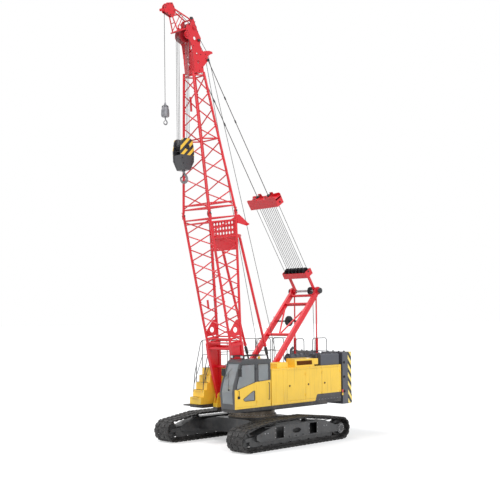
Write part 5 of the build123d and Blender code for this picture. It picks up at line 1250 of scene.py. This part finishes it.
def make_gantry_trim():
    """Pin plates, rungs, and hoses with clamps on the raising cylinders."""
    plates, rungs, hoses = Build(), Build(), Build()
    for side in (-1, 1):
        for y, z, face, radius in ((*GANTRY_FOOT, 0.775, 0.075), (*GANTRY_TOP.yz, 0.85, 0.12)):
            plates.disc((side * face, y, z), (side, 0, 0), radius, 0.014, 28)
            for y_bolt, z_bolt in circle(radius * 0.68, 8, y, z)[1::2]:
                plates.bolt((side * (face + 0.014), y_bolt, z_bolt), (side, 0, 0), 0.022)
    plates.piece("gantry_pin_plates", dark_paint, "upper", "dark_paint")

    foot = Vector((-0.7, *GANTRY_FOOT))
    along = (GANTRY_TOP.yz - foot.yz).normalized()
    out = Vector((0, -along.y, along.x))
    half, lift = Vector((0.05, 0, 0)), out * 0.06
    for step in range(11):
        place = foot + Vector((0, *along)) * (0.7 + 0.32 * step) + out * 0.11
        rungs.pipe([place - half, place - half + lift, place + half + lift, place + half], 0.008, 0.02)
    rungs.piece("gantry_rungs", boom_red, "upper", "boom_red")

    for side in (-1, 1):
        x = side * 0.618
        hoses.pipe([(x, 3.13, 1.8), (x, 3.1, 2.3), (x, 3.125, 3.3), (x, 3.135, 3.9)], 0.01, 0.2)
        for z in (2.2, 2.8, 3.4):
            clamp = turned((x, 3.2, z), UP)
            hoses.revolve([(0.063, 0), (0.069, 0), (0.069, 0.03), (0.063, 0.03)], clamp, 24)
    hoses.piece("gantry_hoses", black_rubber, "upper", "dark_paint")


def make_node_gussets():
    """Small gussets on both faces of each chord where the braces meet it."""
    plates = Build(on_boom)
    for first, last, panels in (BASE_FRAMES, TIP_FRAMES):
        for point in range(panels + 1):
            z = first + (last - first) * point / panels
            half_x, half_y = section_half(z)
            for x_sign in (-1, 1):
                for y_sign in (-1, 1):
                    for near, across, sign, axis in ((half_y, half_x * x_sign, y_sign, 0),
                                                     (half_x, half_y * y_sign, x_sign, 1)):
                        root, tip = sign * near, sign * (near - 0.09)
                        outline = [(root, z - 0.06), (tip, z - 0.012), (tip, z + 0.012), (root, z + 0.06)]
                        plates.prism(outline, across - 0.004, across + 0.004, axis)
    plates.piece("boom_node_gussets", boom_red, "boom", "boom_red")


def make_boom_cables():
    """Two cables along the right rear chord, with a bend round the joint, and their clips."""
    cable, clips = Build(on_boom), Build(on_boom)
    for low, high in ((2.2, 7.0), (7.3, 12.2)):
        for lift in (0.0, 0.024):
            ends = [(-section_half(z)[0] - 0.06 - lift, section_half(z)[1], z) for z in (low, high)]
            cable.sweep(divided(ends, 0.3), circle(0.009, 8))
        for number in range(int((high - low) / 0.45)):
            z = low + 0.2 + 0.45 * number
            half_x, half_y = section_half(z)
            clips.box((-half_x - 0.1, -half_x - 0.03), (half_y - 0.02, half_y + 0.02), (z - 0.015, z + 0.015))
    for lift in (0.0, 0.024):
        x, y = -BASE_HALF[0] - lift, BASE_HALF[1]
        bend = [(x - 0.06, y, 7.0), (x - 0.13, y, 7.1), (x - 0.13, y, 7.2), (x - 0.055, y, 7.3)]
        cable.pipe(bend, 0.009, 0.06)
    cable.piece("boom_cables", black_rubber, "boom", "dark_paint")
    clips.piece("boom_cable_clips", dark_paint, "boom", "dark_paint", bevel=0.001)


def make_head_trim():
    """Shaft covers, bolts and small boxes on the boom head, and caps on the pins of the boom joint."""
    head, fittings = Build(on_boom), Build(on_boom)
    for side in (-1, 1):
        for y, z in ((-0.37, 13.798), GUIDE[:2]):
            head.prism(circle(0.095, 24, y, z), *mirrored(side, 0.305, 0.317))
            for spot in circle(0.07, 6, y, z):
                fittings.prism(circle(0.013, 6, *spot), *mirrored(side, 0.317, 0.327))
        for z in (12.6, 12.85, 13.1, 13.35):
            head.prism([(-0.19, z - 0.06), (-0.13, z - 0.05), (-0.13, z + 0.05), (-0.19, z + 0.06)],
                       *mirrored(side, 0.285, 0.297))
    y, z = AUX_FORK
    for side in (-1, 1):
        for radius, level in ((0.075, 0.086), (0.05, 0.094)):
            head.prism(circle(radius, 24, y, z), *mirrored(side, 0.078, level))
        for dy, dz in ((-0.2, 0.03), (-0.16, 0.12), (-0.05, 0.18), (0.1, 0.2), (0.2, 0.1), (0.2, -0.06),
                       (0.12, -0.2), (0.0, -0.21), (-0.14, -0.16)):
            fittings.prism(circle(0.02, 6, y + dy, z + dz), *mirrored(side, 0.08, 0.094))
    head.piece("boom_head_covers", boom_red, "boom", "boom_red", bevel=0.002)
    for side in (-1, 1):
        for spot in ((-0.35, 13.95), (-0.12, 13.4), (0.2, 13.1), (0.42, 12.95), (0.05, 12.5), (0.2, 12.62),
                     (-0.12, 14.3), (0.08, 14.3), (0.17, 13.95), (0.44, 13.12)):
            fittings.prism(circle(0.018, 6, *spot), *mirrored(side, 0.285, 0.3))
    for y, z in ((-0.1, 14.42), (0.16, 13.62)):
        fittings.box((0.285, 0.35), (y - 0.05, y + 0.05), (z - 0.04, z + 0.04))
    for side in (-1, 1):
        for x in (BASE_HALF[0] - 0.066, BASE_HALF[0] + 0.066):
            for y in (-BASE_HALF[1], BASE_HALF[1]):
                fittings.prism(circle(0.034, 16, y, JOINT_Z), side * x - 0.005, side * x + 0.005)
    fittings.piece("boom_fittings", dark_paint, "boom", "dark_paint", bevel=0.001)


make_winch_trim()
make_gantry_trim()
make_node_gussets()
make_boom_cables()
make_head_trim()
